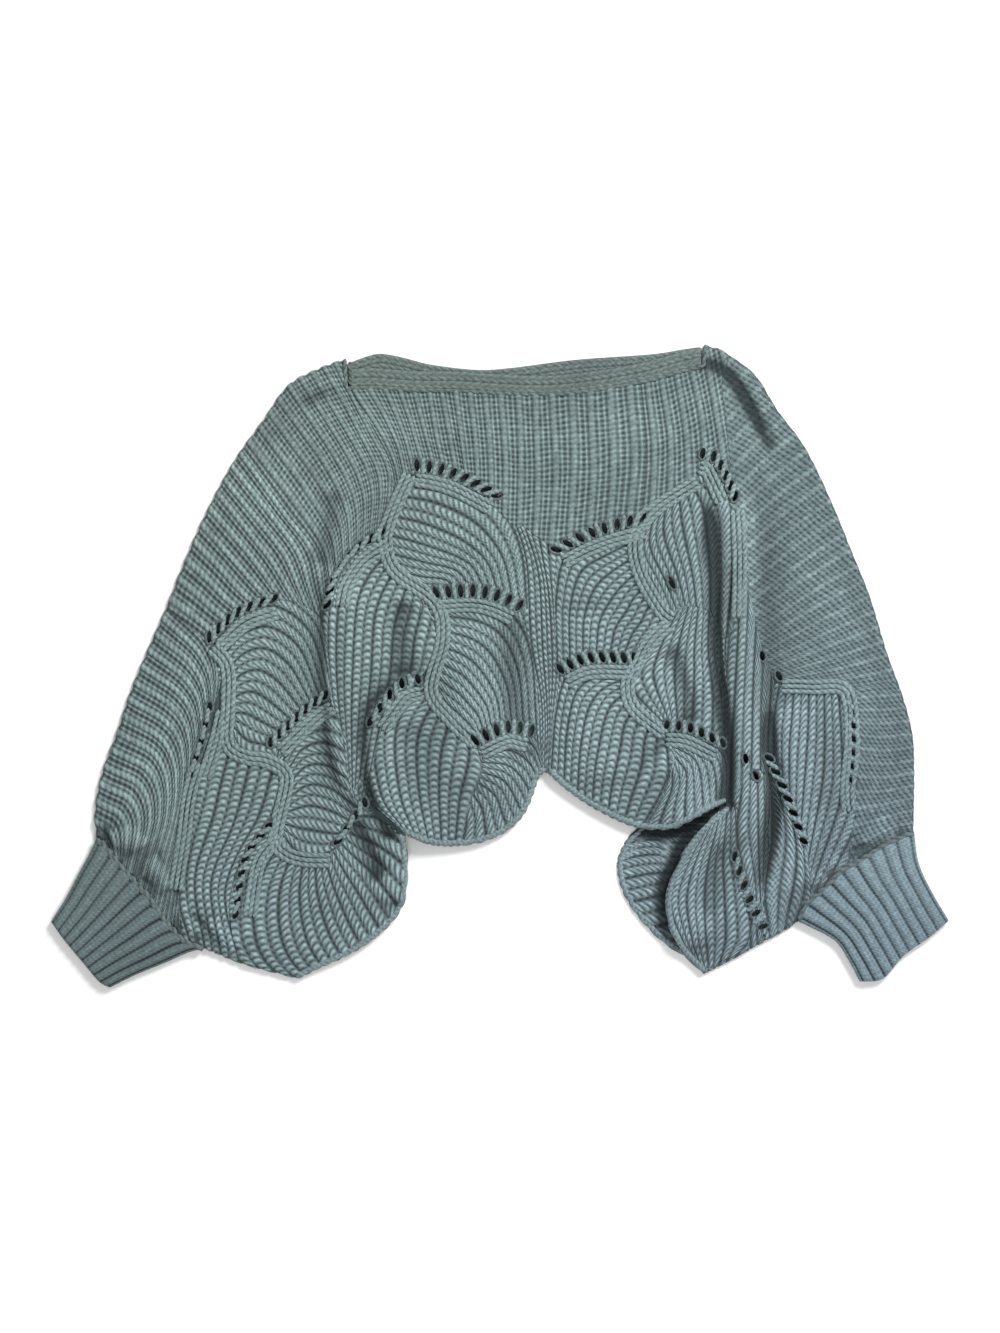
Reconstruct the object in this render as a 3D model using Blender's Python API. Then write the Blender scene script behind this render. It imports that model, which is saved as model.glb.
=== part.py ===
"""Cropped open-knit sweater, laid flat with its front up.

The sweater is five knitted pieces: a front and a back dolman panel with the sleeves in one, a neck band
and two ribbed cuffs. Its plan is drawn on a knitting chart: x runs to the right and y runs down, in chart
squares. SPAN, the width from cuff to cuff, sets the real size of a square. The back lies flat at z = 0 and
the front lies on it, lifted along its folds.
"""

import math

import bpy
import numpy as np
from mathutils import Vector
from mathutils.geometry import delaunay_2d_cdt

# Driving dimensions, in metres
SPAN = 0.790
CHART_SPAN = 897.0
CHART_CENTRE = (500.0, 666.5)
SQUARE = SPAN / CHART_SPAN
PANEL_WALL = 0.0032
RIM_WALL = 0.0022
SEAM_GAP = 0.0003
RIB_RELIEF = 0.0016
CORD_RELIEF = 0.0026
CORD_HALF = 0.0062
PILLOW = 0.0025
PILLOW_REACH = 0.045
JOINED_RIM = 0.022
SETTLE = 0.0006
NUDGE = 0.0008
STEEPEST = 1.8
EYELET_REACH = 0.0120
EYELET_WIDTH = 0.0050
CUFF_HEIGHT = 0.0088
CUFF_WALL = 0.0028
CUFF_RELIEF = 0.0012
CUFF_GAP = 0.0008
CUFF_RIBS = 9
BAND_WALL = 0.0030
BAND_LIFT = 0.0039

# Spacing of the mesh points, in metres
OUTLINE_STEP = 0.014
RIB_STEP = 0.021
BACK_STEP = 0.030
UNDER_HEM_STEP = 0.008
CLEAR_OF_OUTLINE = 0.0050
CLEAR_OF_EYELET = 0.0036
CLEAR_OF_POINT = 0.0046

# The panels' edges on the chart, one smooth stretch a row, in the order they follow each other
SLEEVE_LEFT = ((98, 838), (96, 812), (103, 774), (119, 730), (132, 691), (150, 648), (167, 609), (182, 571),
               (206, 516), (235, 462), (264, 421), (289, 386), (318, 370), (345, 360))
SLEEVE_RIGHT = ((705, 346), (718, 350), (739, 362), (758, 379), (777, 410), (801, 442), (818, 473),
                (838, 518), (852, 553), (870, 598), (887, 654), (902, 695), (912, 734), (914, 774), (913, 832))
SEAM_RIGHT = ((913, 832), (884, 845), (857, 862), (842, 870), (823, 889), (807, 903), (798, 921))
SEAM_LEFT = ((205, 948), (185, 941), (169, 924), (145, 892), (119, 863), (98, 838))
UNDERARM_RIGHT = ((798, 921), (775, 935), (752, 947), (733, 958), (703, 973))
UNDERARM_LEFT = ((298, 978), (271, 971), (245, 964), (205, 948))
SIDE_LOBE_RIGHT = ((703, 973), (679, 946), (667, 918), (667, 888), (678, 862), (686, 845), (702, 825),
                   (727, 805))
HEM_RIGHT = ((727, 802), (710, 808), (686, 821), (670, 828), (638, 827), (606, 814), (576, 796), (554, 778),
             (547, 770))
HEM_CENTRE = ((547, 770), (538, 777), (534, 790), (524, 813), (507, 830), (483, 841), (456, 845), (429, 843),
              (403, 832))
SIDE_LOBE_LEFT = ((403, 832), (407, 850), (407, 884), (401, 909), (381, 932), (354, 951), (316, 969),
                  (298, 978))
HEM_BACK = ((703, 973), (687, 958), (660, 939), (636, 913), (622, 888), (618, 862), (627, 840), (641, 822),
            (618, 800), (585, 780), (545, 762), (500, 755), (456, 762), (416, 780), (383, 800), (360, 822),
            (374, 840), (383, 862), (379, 888), (365, 913), (341, 939), (314, 958), (298, 978))

# Eyelet arcs: the arc on the chart, how many eyelets it has, the tilt of its first and last eyelet in
# degrees from the chart's x, rising to the right, and how long an eyelet is, in millimetres
EYELET_ARCS = (
    {"name": "yoke_left", "arc": ((417, 466), (440, 470), (463, 478), (497, 496)), "count": 8,
     "tilt": (95, 5), "long": 11.2},
    {"name": "side_left", "arc": ((382, 532), (353, 552), (334, 580), (328, 605)), "count": 8,
     "tilt": (62, 46), "long": 10.6},
    {"name": "sleeve_left", "arc": ((274, 599), (239, 612), (210, 637)), "count": 7,
     "tilt": (48, 88), "long": 10.8},
    {"name": "middle_left", "arc": ((436, 593), (472, 591), (497, 596), (519, 606)), "count": 8,
     "tilt": (112, 55), "long": 11.6},
    {"name": "yoke_right", "arc": ((642, 518), (606, 528), (582, 537), (556, 550)), "count": 8,
     "tilt": (60, 165), "long": 10.6},
    {"name": "shoulder_right", "arc": ((702, 454), (717, 461), (734, 497)), "count": 6,
     "tilt": (78, 72), "long": 10.0},
    {"name": "lone_right", "arc": ((671, 583), (675, 591)), "count": 1, "tilt": (115, 115), "long": 12.0},
    {"name": "middle_right", "arc": ((560, 669), (588, 658), (634, 658)), "count": 8,
     "tilt": (122, 105), "long": 10.6},
    {"name": "hem_right", "arc": ((666, 725), (690, 728), (722, 743)), "count": 6,
     "tilt": (80, 105), "long": 8.8},
    {"name": "hem_left", "arc": ((475, 740), (506, 727), (531, 731)), "count": 6,
     "tilt": (125, 72), "long": 11.6},
    {"name": "fold_left", "arc": ((418, 679), (397, 687), (371, 721)), "count": 5,
     "tilt": (105, 70), "long": 9.4},
    {"name": "low_left", "arc": ((326, 695), (307, 708), (271, 742)), "count": 7,
     "tilt": (68, 88), "long": 9.6},
    {"name": "cord_left", "arc": ((210, 707), (202, 740), (191, 774)), "count": 5,
     "tilt": (82, 70), "long": 9.4},
    {"name": "lobe_left", "arc": ((270, 825), (246, 858), (236, 914)), "count": 8,
     "tilt": (20, 66), "long": 8.8},
    {"name": "lobe_left_end", "arc": ((365, 802), (352, 820), (338, 841)), "count": 4,
     "tilt": (100, 32), "long": 9.4},
    {"name": "sleeve_right", "arc": ((761, 656), (768, 663), (778, 676)), "count": 2,
     "tilt": (100, 118), "long": 9.0},
    {"name": "cord_right", "arc": ((848, 698), (853, 740), (851, 780)), "count": 7,
     "tilt": (130, 150), "long": 7.0},
    {"name": "fold_right", "arc": ((744, 758), (754, 775)), "count": 2, "tilt": (98, 118), "long": 9.4},
    {"name": "low_right", "arc": ((768, 758), (785, 794), (802, 840)), "count": 7,
     "tilt": (150, 148), "long": 9.6},
    {"name": "lobe_right", "arc": ((734, 856), (745, 890), (762, 926)), "count": 6,
     "tilt": (80, 22), "long": 9.4},
)
BACK_ARCS = ("yoke_left", "side_left", "sleeve_left", "middle_left", "yoke_right")

# Rib fields: how many ribs a field has, and the run of its first, middle and last rib on the chart
RIB_FIELDS = (
    {"name": "yoke_left", "ribs": 7, "runs": (
        ((345, 389), (375, 432), (392, 468), (398, 505)), ((400, 388), (412, 425), (420, 455)),
        ((448, 389), (455, 430), (462, 472)))},
    {"name": "yoke_middle", "ribs": 11, "runs": (
        ((448, 389), (455, 430), (462, 472)), ((535, 394), (538, 470), (535, 535)),
        ((640, 384), (645, 450), (640, 515)))},
    {"name": "yoke_right", "ribs": 5, "runs": (
        ((640, 384), (646, 450), (642, 515)), ((675, 376), (684, 430), (672, 495)),
        ((710, 350), (716, 400), (702, 448)))},
    {"name": "shoulder_left", "ribs": 8, "runs": (
        ((345, 368), (375, 432), (394, 475), (388, 528)), ((290, 388), (335, 455), (355, 500), (358, 545)),
        ((244, 448), (290, 510), (320, 552), (330, 590)))},
    {"name": "sleeve_left", "ribs": 10, "runs": (
        ((244, 448), (290, 510), (320, 552), (328, 600)), ((206, 516), (245, 560), (272, 594)),
        ((167, 609), (190, 624), (208, 638)))},
    {"name": "sleeve_left_low", "ribs": 13, "runs": (
        ((167, 609), (206, 650), (214, 700), (190, 790), (180, 900)),
        ((124, 715), (168, 745), (178, 800), (160, 880)), ((98, 832), (106, 840), (114, 852)))},
    {"name": "petal_yoke_left", "ribs": 9, "runs": (
        ((412, 476), (455, 482), (498, 507), (520, 548), (527, 606)),
        ((388, 540), (425, 550), (465, 565), (480, 588)), ((425, 597), (430, 597), (436, 599)))},
    {"name": "channel", "ribs": 3, "runs": (
        ((508, 505), (526, 560), (531, 640), (541, 700), (543, 768)),
        ((528, 530), (541, 580), (545, 650), (548, 720), (546, 768)),
        ((549, 560), (553, 610), (556, 668), (552, 720), (549, 768)))},
    {"name": "petal_yoke_right", "ribs": 8, "runs": (
        ((642, 524), (600, 540), (566, 556), (556, 600), (557, 662)),
        ((640, 570), (618, 590), (600, 620), (596, 650)), ((664, 614), (655, 632), (642, 650)))},
    {"name": "petal_shoulder_right", "ribs": 7, "runs": (
        ((640, 530), (640, 560), (655, 588), (668, 616)), ((672, 498), (672, 530), (684, 575), (690, 606)),
        ((700, 474), (732, 500), (738, 560), (736, 620)))},
    {"name": "petal_middle_right", "ribs": 6, "runs": (
        ((668, 618), (640, 655), (630, 685), (664, 724)), ((690, 606), (680, 660), (680, 720)),
        ((714, 612), (714, 656), (722, 703), (724, 735)))},
    {"name": "petal_middle_left", "ribs": 9, "runs": (
        ((436, 604), (482, 604), (514, 618), (531, 655), (536, 722)),
        ((440, 650), (470, 665), (492, 695), (498, 722)), ((452, 718), (462, 726), (472, 736)))},
    {"name": "hem_left_fan", "ribs": 8, "runs": (
        ((480, 745), (508, 735), (532, 745), (542, 768)), ((482, 772), (505, 782), (522, 812)),
        ((466, 808), (466, 826), (462, 844)))},
    {"name": "hem_left_down", "ribs": 6, "runs": (
        ((416, 687), (386, 704), (375, 740), (382, 795), (405, 830)),
        ((440, 700), (424, 740), (424, 790), (432, 842)), ((478, 748), (482, 772), (470, 805), (462, 843)))},
    {"name": "petal_side_left", "ribs": 7, "runs": (
        ((386, 542), (356, 562), (340, 600), (338, 690), (352, 795)),
        ((400, 578), (385, 620), (380, 680), (366, 770)), ((440, 640), (430, 665), (420, 676)))},
    {"name": "petal_sleeve_left", "ribs": 8, "runs": (
        ((214, 645), (240, 616), (274, 606), (310, 632), (328, 690)),
        ((230, 700), (255, 672), (282, 690), (296, 712)), ((240, 752), (250, 750), (266, 744)))},
    {"name": "petal_low_left", "ribs": 8, "runs": (
        ((268, 757), (300, 725), (332, 706), (345, 760), (358, 795)),
        ((284, 808), (310, 782), (335, 800), (345, 828)), ((290, 852), (310, 855), (330, 850)))},
    {"name": "petal_cord_left", "ribs": 6, "runs": (
        ((216, 735), (198, 780), (190, 835), (192, 900), (207, 944)),
        ((245, 762), (228, 820), (222, 880), (230, 920)), ((282, 785), (276, 806), (270, 820)))},
    {"name": "side_lobe_left", "ribs": 12, "runs": (
        ((272, 838), (248, 870), (244, 918), (262, 950), (296, 976)),
        ((325, 866), (330, 905), (345, 930), (358, 948)), ((380, 832), (392, 836), (404, 842)))},
    {"name": "sleeve_right_high", "ribs": 18, "runs": (
        ((716, 352), (726, 400), (736, 450), (740, 500)), ((805, 450), (780, 500), (742, 550)),
        ((887, 654), (840, 672), (786, 682)))},
    {"name": "sleeve_right_low", "ribs": 9, "runs": (
        ((889, 660), (866, 676), (848, 690)), ((914, 760), (884, 764), (856, 762)),
        ((913, 828), (890, 834), (862, 850)))},
    {"name": "petal_cuff_right", "ribs": 7, "runs": (
        ((778, 688), (773, 720), (773, 755)), ((812, 690), (810, 750), (802, 830)),
        ((845, 694), (850, 760), (848, 810), (815, 890)))},
    {"name": "strip_right", "ribs": 3, "runs": (
        ((740, 510), (737, 620), (732, 720), (730, 800)), ((756, 600), (752, 680), (750, 750)),
        ((770, 684), (767, 740), (768, 772)))},
    {"name": "petal_underarm_right", "ribs": 5, "runs": (
        ((768, 770), (772, 826), (764, 885), (768, 925)), ((786, 810), (790, 850), (782, 915)),
        ((802, 846), (804, 885), (797, 918)))},
    {"name": "petal_lobe_right", "ribs": 3, "runs": (
        ((740, 790), (736, 840), (750, 900), (750, 945)), ((756, 780), (758, 850), (760, 905)),
        ((768, 778), (768, 850), (762, 895)))},
    {"name": "hem_right_down", "ribs": 8, "runs": (
        ((628, 664), (596, 664), (568, 674), (556, 712), (551, 768)),
        ((630, 690), (608, 710), (596, 760), (592, 802)), ((666, 745), (666, 780), (642, 826)))},
    {"name": "hem_right_fan", "ribs": 6, "runs": (
        ((668, 734), (692, 738), (720, 752), (726, 776), (722, 800)),
        ((676, 750), (694, 766), (698, 810)), ((668, 778), (660, 800), (645, 826)))},
    {"name": "side_lobe_right", "ribs": 11, "runs": (
        ((746, 800), (738, 802), (728, 805)), ((738, 870), (710, 862), (672, 880)),
        ((738, 952), (722, 962), (706, 971)))},
)
BACK_FIELD = {"name": "inside_lobe", "ribs": 12, "runs": (
    ((672, 818), (655, 820), (638, 828)), ((690, 872), (655, 868), (620, 874)),
    ((722, 955), (712, 964), (702, 971)))}

# Raised cords between the petals, on the chart
CORDS = (
    ((410, 474), (390, 520), (386, 545), (396, 572), (436, 603), (443, 640), (431, 690), (450, 718), (476, 744)),
    ((698, 482), (660, 506), (642, 524), (634, 545), (640, 575), (660, 610), (672, 620)),
    ((668, 624), (650, 642), (635, 667), (627, 684), (633, 708), (664, 734)),
    ((213, 647), (228, 666), (229, 703), (228, 743), (246, 757), (266, 760), (284, 770), (287, 785), (276, 836),
     (285, 852), (304, 859), (331, 860)),
    ((200, 762), (190, 795), (184, 840), (176, 890)),
    ((780, 686), (812, 687), (845, 691), (850, 740), (846, 790), (848, 812)),
    ((736, 510), (738, 560), (737, 619)),
)

# Folds: the run on the chart, the height in millimetres (a trough is below zero), and how far the fold
# reaches to the left and to the right of its run, in millimetres
FOLDS = (
    {"name": "side_overlap", "run": ((333, 560), (334, 700), (345, 770), (362, 806)), "height": 7.0,
     "left": 34.0, "right": 6.0},
    {"name": "side_trough", "run": ((352, 815), (366, 845), (384, 884)), "height": -3.0, "left": 9.0,
     "right": 12.0},
    {"name": "side_lobe_rise", "run": ((392, 832), (400, 865), (392, 905)), "height": 6.0, "left": 16.0,
     "right": 14.0},
    {"name": "centre_valley", "run": ((404, 595), (402, 640), (404, 682)), "height": -3.5, "left": 12.0,
     "right": 12.0},
    {"name": "centre_overlap", "run": ((424, 676), (386, 703), (375, 730), (376, 770), (386, 806), (403, 833)),
     "height": 9.0, "left": 30.0, "right": 5.5},
    {"name": "middle_valley", "run": ((512, 600), (514, 700), (532, 775)), "height": -3.0, "left": 16.0,
     "right": 16.0},
    {"name": "centre_rise", "run": ((455, 610), (470, 700), (470, 790)), "height": 4.0, "left": 26.0,
     "right": 22.0},
    {"name": "right_rise", "run": ((590, 600), (592, 700), (600, 790)), "height": 4.5, "left": 24.0,
     "right": 30.0},
    {"name": "right_crease", "run": ((668, 640), (684, 690), (690, 730)), "height": -3.0, "left": 9.0,
     "right": 9.0},
    {"name": "hem_right_rise", "run": ((664, 740), (690, 770), (694, 812)), "height": 6.0, "left": 26.0,
     "right": 26.0},
    {"name": "deep_fold_ridge", "run": ((712, 470), (735, 530), (736, 620), (740, 700), (744, 780), (742, 850)),
     "height": 12.0, "left": 19.0, "right": 15.0},
    {"name": "deep_fold", "run": ((709, 490), (713, 616), (715, 660), (723, 710), (729, 760), (727, 802)),
     "height": -9.0, "left": 6.0, "right": 7.0},
    {"name": "right_valley", "run": ((769, 695), (768, 752), (773, 775), (770, 826), (764, 865), (757, 900)),
     "height": -5.0, "left": 9.0, "right": 9.0},
    {"name": "underarm_rise", "run": ((784, 690), (795, 770), (792, 850), (776, 900)), "height": 6.0,
     "left": 20.0, "right": 20.0},
    {"name": "side_lobe_right", "run": ((732, 812), (702, 832), (688, 865), (684, 905), (700, 950)),
     "height": 9.0, "left": 16.0, "right": 30.0},
    {"name": "shoulder_groove_right", "run": ((711, 371), (732, 379), (756, 418), (778, 456)), "height": -2.5,
     "left": 7.0, "right": 7.0},
    {"name": "shoulder_rise_right", "run": ((716, 356), (744, 372), (775, 415), (800, 456)), "height": 3.0,
     "left": 12.0, "right": 12.0},
    {"name": "shoulder_groove_left", "run": ((300, 404), (326, 392), (352, 383)), "height": -2.5, "left": 8.0,
     "right": 8.0},
    {"name": "sleeve_crease_left", "run": ((332, 485), (328, 530), (316, 572)), "height": -2.5, "left": 11.0,
     "right": 11.0},
    {"name": "cord_trough_left", "run": ((196, 760), (186, 830), (176, 900)), "height": -3.0, "left": 8.0,
     "right": 8.0},
    {"name": "gather_left_top", "run": ((112, 842), (132, 838), (142, 850)), "height": 5.0, "left": 8.0,
     "right": 8.0},
    {"name": "gather_left_middle", "run": ((146, 858), (158, 872), (166, 892)), "height": 5.5, "left": 8.0,
     "right": 8.0},
    {"name": "gather_left_low", "run": ((176, 904), (190, 924), (200, 936)), "height": 5.0, "left": 8.0,
     "right": 8.0},
    {"name": "gather_right_top", "run": ((900, 826), (878, 834), (864, 848)), "height": 4.0, "left": 8.0,
     "right": 8.0},
    {"name": "gather_right_low", "run": ((842, 858), (824, 872), (808, 892)), "height": 4.5, "left": 8.0,
     "right": 8.0},
    {"name": "underarm_fold_left", "run": ((206, 922), (220, 934), (236, 950)), "height": 4.0, "left": 8.0,
     "right": 8.0},
)
FOLD_TAPER = 0.18
OPEN_FOLDS = ("centre_overlap", "hem_right_rise", "deep_fold")

# The cuffs: the sleeve's seam, the two side edges from seam to end, and the end edge, on the chart
CUFFS = (
    {"name": "cuff_left", "seam": SEAM_LEFT[::-1], "first": ((98, 838), (92, 851), (80, 873), (68, 896), (52, 921)),
     "last": ((205, 948), (191, 951), (166, 962), (137, 974), (111, 987)),
     "end": ((52, 921), (64, 938), (83, 961), (100, 981), (111, 987))},
    {"name": "cuff_right", "seam": SEAM_RIGHT, "first": ((913, 832), (918, 863), (932, 893), (948, 920)),
     "last": ((798, 921), (807, 925), (834, 940), (848, 960), (859, 981)),
     "end": ((948, 920), (928, 937), (903, 955), (882, 978), (859, 981))},
)
CUFF_STATIONS = 6
CUFF_TURN = 0.045
CUFF_EDGE = ((0.009, 0.72), (0.0, 0.5), (0.009, 0.28))

# The neck band: the upper edge of its front and back run on the chart, left to right, its depth and the gap
# to the panels' necklines, in chart squares; and the panels' corners beside it
BAND_FRONT = ((352, 369.5), (372, 368.5), (416, 371.5), (456, 372), (496, 374.5), (528, 376), (559, 375.5),
              (591, 372), (623, 367), (650, 361.5), (676, 354), (697, 349))
BAND_BACK = ((352, 362), (369, 356), (382, 354), (404, 358), (432, 365), (477, 370), (512, 368), (575, 360),
             (650, 354.5), (680, 350), (697, 347.5))
BAND_DEPTH = 18.5
BAND_SEAM = 0.8
BAND_STATIONS = 34
BAND_TURN_STATIONS = 3
CORNER_LEFT = (345, 360)
CORNER_RIGHT = (705, 346)
NECK_LEFT = 346
NECK_RIGHT = 703

# Surface finishes: colour, roughness
YARN = ((0.215, 0.315, 0.315, 1.0), 0.88)
YARN_BAND = ((0.225, 0.325, 0.325, 1.0), 0.88)
YARN_CUFF = ((0.190, 0.290, 0.300, 1.0), 0.85)


def plan(points):
    """Chart points as plan points in metres, y up."""
    chart = np.asarray(points, dtype=float)
    return np.column_stack(((chart[:, 0] - CHART_CENTRE[0]) * SQUARE, (CHART_CENTRE[1] - chart[:, 1]) * SQUARE))


def smooth(points, count=12):
    """A Catmull-Rom curve through the points, with count steps between each two."""
    if len(points) == 2:
        return points
    ends = np.vstack((2 * points[0] - points[1], points, 2 * points[-1] - points[-2]))
    t = np.linspace(0.0, 1.0, count, endpoint=False)[:, None]
    spans = []
    for i in range(len(points) - 1):
        a, b, c, d = ends[i:i + 4]
        spans.append(0.5 * (2 * b + (c - a) * t + (2 * a - 5 * b + 4 * c - d) * t ** 2
                            + (3 * b - a - 3 * c + d) * t ** 3))
    return np.vstack(spans + [points[-1:]])


def resample(points, count):
    """The same line with count + 1 points at even distances."""
    length = np.concatenate(([0.0], np.cumsum(np.linalg.norm(np.diff(points, axis=0), axis=1))))
    stations = np.linspace(0.0, length[-1], count + 1)
    return np.column_stack([np.interp(stations, length, points[:, axis]) for axis in (0, 1)])


def line_length(points):
    """The length of a line of points."""
    return float(np.linalg.norm(np.diff(points, axis=0), axis=1).sum())


def edge(points, step=OUTLINE_STEP):
    """A chart stretch as evenly spaced plan points."""
    curve = smooth(plan(points))
    return resample(curve, max(1, round(line_length(curve) / step)))


def carry_on(near, far, x):
    """The point at x on the straight line from far through near."""
    return x, near[1] + (near[1] - far[1]) * (x - near[0]) / (near[0] - far[0])


def neck_edge(band):
    """The panel's edge round a run of the neck band: the left corner, the neckline and the right corner."""
    rows = [(x, y + BAND_DEPTH + BAND_SEAM) for x, y in band]
    rows = [carry_on(rows[0], rows[1], NECK_LEFT), *rows, carry_on(rows[-1], rows[-2], NECK_RIGHT)]
    return (CORNER_LEFT, rows[0]), tuple(rows), (rows[-1], CORNER_RIGHT)


def outline(stretches):
    """A closed loop of the stretches, turned anticlockwise."""
    loop = np.vstack([edge(stretch)[:-1] for stretch in stretches])
    return loop if signed_area(loop) > 0 else loop[::-1]


def signed_area(loop):
    """The area of a loop, positive where it runs anticlockwise."""
    x, y = loop[:, 0], loop[:, 1]
    return 0.5 * float(np.sum(x * np.roll(y, -1) - np.roll(x, -1) * y))


def inside(points, loops):
    """Whether each point is inside the first loop and outside the others, by counting crossings."""
    odd = np.zeros(len(points), dtype=bool)
    for loop in loops:
        start, stop = loop, np.roll(loop, -1, axis=0)
        for (x0, y0), (x1, y1) in zip(start, stop):
            if y0 == y1:
                continue
            spans = (points[:, 1] > min(y0, y1)) & (points[:, 1] <= max(y0, y1))
            odd ^= spans & (points[:, 0] < x0 + (points[:, 1] - y0) * (x1 - x0) / (y1 - y0))
    return odd


def beside(points, run):
    """The signed distance of points to a run, positive on its left, and how far along it they are."""
    best = np.full(len(points), np.inf)
    side = np.zeros(len(points))
    along = np.zeros(len(points))
    lengths = np.linalg.norm(np.diff(run, axis=0), axis=1)
    total = lengths.sum()
    before = 0.0
    for start, stop, length in zip(run[:-1], run[1:], lengths):
        way = (stop - start) / length
        offset = points - start
        reach = np.clip(offset @ way, 0.0, length)
        nearest = start + reach[:, None] * way
        distance = np.linalg.norm(points - nearest, axis=1)
        closer = distance < best
        best = np.where(closer, distance, best)
        side = np.where(closer, way[0] * offset[:, 1] - way[1] * offset[:, 0], side)
        along = np.where(closer, (before + reach) / total, along)
        before += length
    return np.where(side >= 0, best, -best), along


def ease(value):
    """A smooth step from 0 to 1."""
    t = np.clip(value, 0.0, 1.0)
    return t * t * (3 - 2 * t)


def distance_to_loop(points, loop):
    """The distance of points to a closed loop."""
    return np.abs(beside(points, np.vstack((loop, loop[:1])))[0])


def joined_edges():
    """The runs where the front panel is joined to the back panel, the cuffs and the band."""
    return [edge(stretch) for stretch in (SLEEVE_LEFT, SLEEVE_RIGHT, SEAM_LEFT, SEAM_RIGHT, *neck_edge(BAND_FRONT),
                                          UNDERARM_LEFT, UNDERARM_RIGHT)]


def fold_height(points):
    """How far the folds lift the front panel's inner face above the back panel, in metres."""
    to_join = np.min([np.abs(beside(points, run)[0]) for run in JOINED_RUNS], axis=0)
    height = PILLOW * ease(to_join / PILLOW_REACH)
    for fold in FOLDS:
        distance, along = beside(points, smooth(plan(fold["run"]), 6))
        reach = np.where(distance >= 0, fold["left"], fold["right"]) * 0.001
        taper = ease(along / FOLD_TAPER) * ease((1.0 - along) / FOLD_TAPER)
        if fold["name"] in OPEN_FOLDS:
            taper = ease(along / FOLD_TAPER)
        height = height + fold["height"] * 0.001 * np.exp(-(distance / reach) ** 2) * taper
    settled = 0.5 * (height + np.sqrt(height ** 2 + SETTLE ** 2) - SETTLE)
    return np.maximum(settled, 0.0) * ease(to_join / JOINED_RIM)


def front_wall(points):
    """The front panel's thickness, straight up, so that it is even across a slope."""
    slope_x = (fold_height(points + (NUDGE, 0)) - fold_height(points - (NUDGE, 0))) / (2 * NUDGE)
    slope_y = (fold_height(points + (0, NUDGE)) - fold_height(points - (0, NUDGE))) / (2 * NUDGE)
    steep = np.minimum(np.sqrt(1 + slope_x ** 2 + slope_y ** 2), STEEPEST)
    to_join = np.min([np.abs(beside(points, run)[0]) for run in JOINED_RUNS], axis=0)
    return (RIM_WALL + (PANEL_WALL - RIM_WALL) * ease(to_join / CLEAR_OF_OUTLINE)) * steep


def eyelet(centre, tilt, length):
    """A long hexagon, clockwise, for one eyelet."""
    way = np.array((math.cos(tilt), math.sin(tilt)))
    across = np.array((-way[1], way[0]))
    half, wide = length / 2, EYELET_WIDTH / 2
    corners = ((half, 0), (half / 2, wide), (-half / 2, wide), (-half, 0), (-half / 2, -wide), (half / 2, -wide))
    loop = np.array([centre + along * way + aside * across for along, aside in corners])
    return loop[::-1]


def eyelets(arcs, mirrored=False):
    """The hexagons of the eyelet arcs; mirrored turns the chart left to right."""
    loops = []
    for arc in arcs:
        run = smooth(plan(arc["arc"]))
        centres = resample(run, arc["count"] - 1) if arc["count"] > 1 else run[:1]
        tilts = np.radians(np.linspace(*arc["tilt"], len(centres)))
        if mirrored:
            centres = centres * (-1, 1)
            tilts = math.pi - tilts
        loops.extend(eyelet(centre, tilt, arc["long"] * 0.001) for centre, tilt in zip(centres, tilts))
    return loops


def rib_grid(field):
    """Points of a rib field: rows are lines along the ribs, valley and crest in turn."""
    runs = [smooth(plan(run)) for run in field["runs"]]
    stations = max(2, round(np.mean([line_length(run) for run in runs]) / RIB_STEP))
    first, middle, last = [resample(run, stations) for run in runs]
    across = np.linspace(0.0, 1.0, 2 * field["ribs"] + 1)[:, None, None]
    grid = (first * (1 - across) * (1 - 2 * across) + middle * 4 * across * (1 - across)
            + last * across * (2 * across - 1))
    crest = np.arange(2 * field["ribs"] + 1) % 2 == 1
    return grid, np.repeat(crest[:, None], stations + 1, axis=1)


def cord_points(run):
    """The crest points of a raised cord and the points at its two feet."""
    curve = smooth(plan(run))
    line = resample(curve, round(line_length(curve) / 0.013))
    way = np.gradient(line, axis=0)
    aside = np.column_stack((-way[:, 1], way[:, 0])) / np.linalg.norm(way, axis=1)[:, None] * CORD_HALF
    relief = np.repeat((CORD_RELIEF, 0.0, 0.0), len(line))
    return np.vstack((line, line + aside, line - aside)), relief


def keep_clear(candidates, loops, placed):
    """Which candidates are inside the loops and clear of them, of the placed points and of each other."""
    chosen = inside(candidates, loops)
    chosen &= distance_to_loop(candidates, loops[0]) > CLEAR_OF_OUTLINE
    for hole in loops[1:]:
        near = np.linalg.norm(candidates - hole.mean(axis=0), axis=1) < EYELET_REACH
        if near.any():
            chosen[near] &= distance_to_loop(candidates[near], hole) > CLEAR_OF_EYELET
    kept = list(placed)
    picked = []
    for index in np.flatnonzero(chosen):
        point = candidates[index]
        if not kept or np.min(np.linalg.norm(np.array(kept) - point, axis=1)) > CLEAR_OF_POINT:
            kept.append(point)
            picked.append(index)
    return picked


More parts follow.
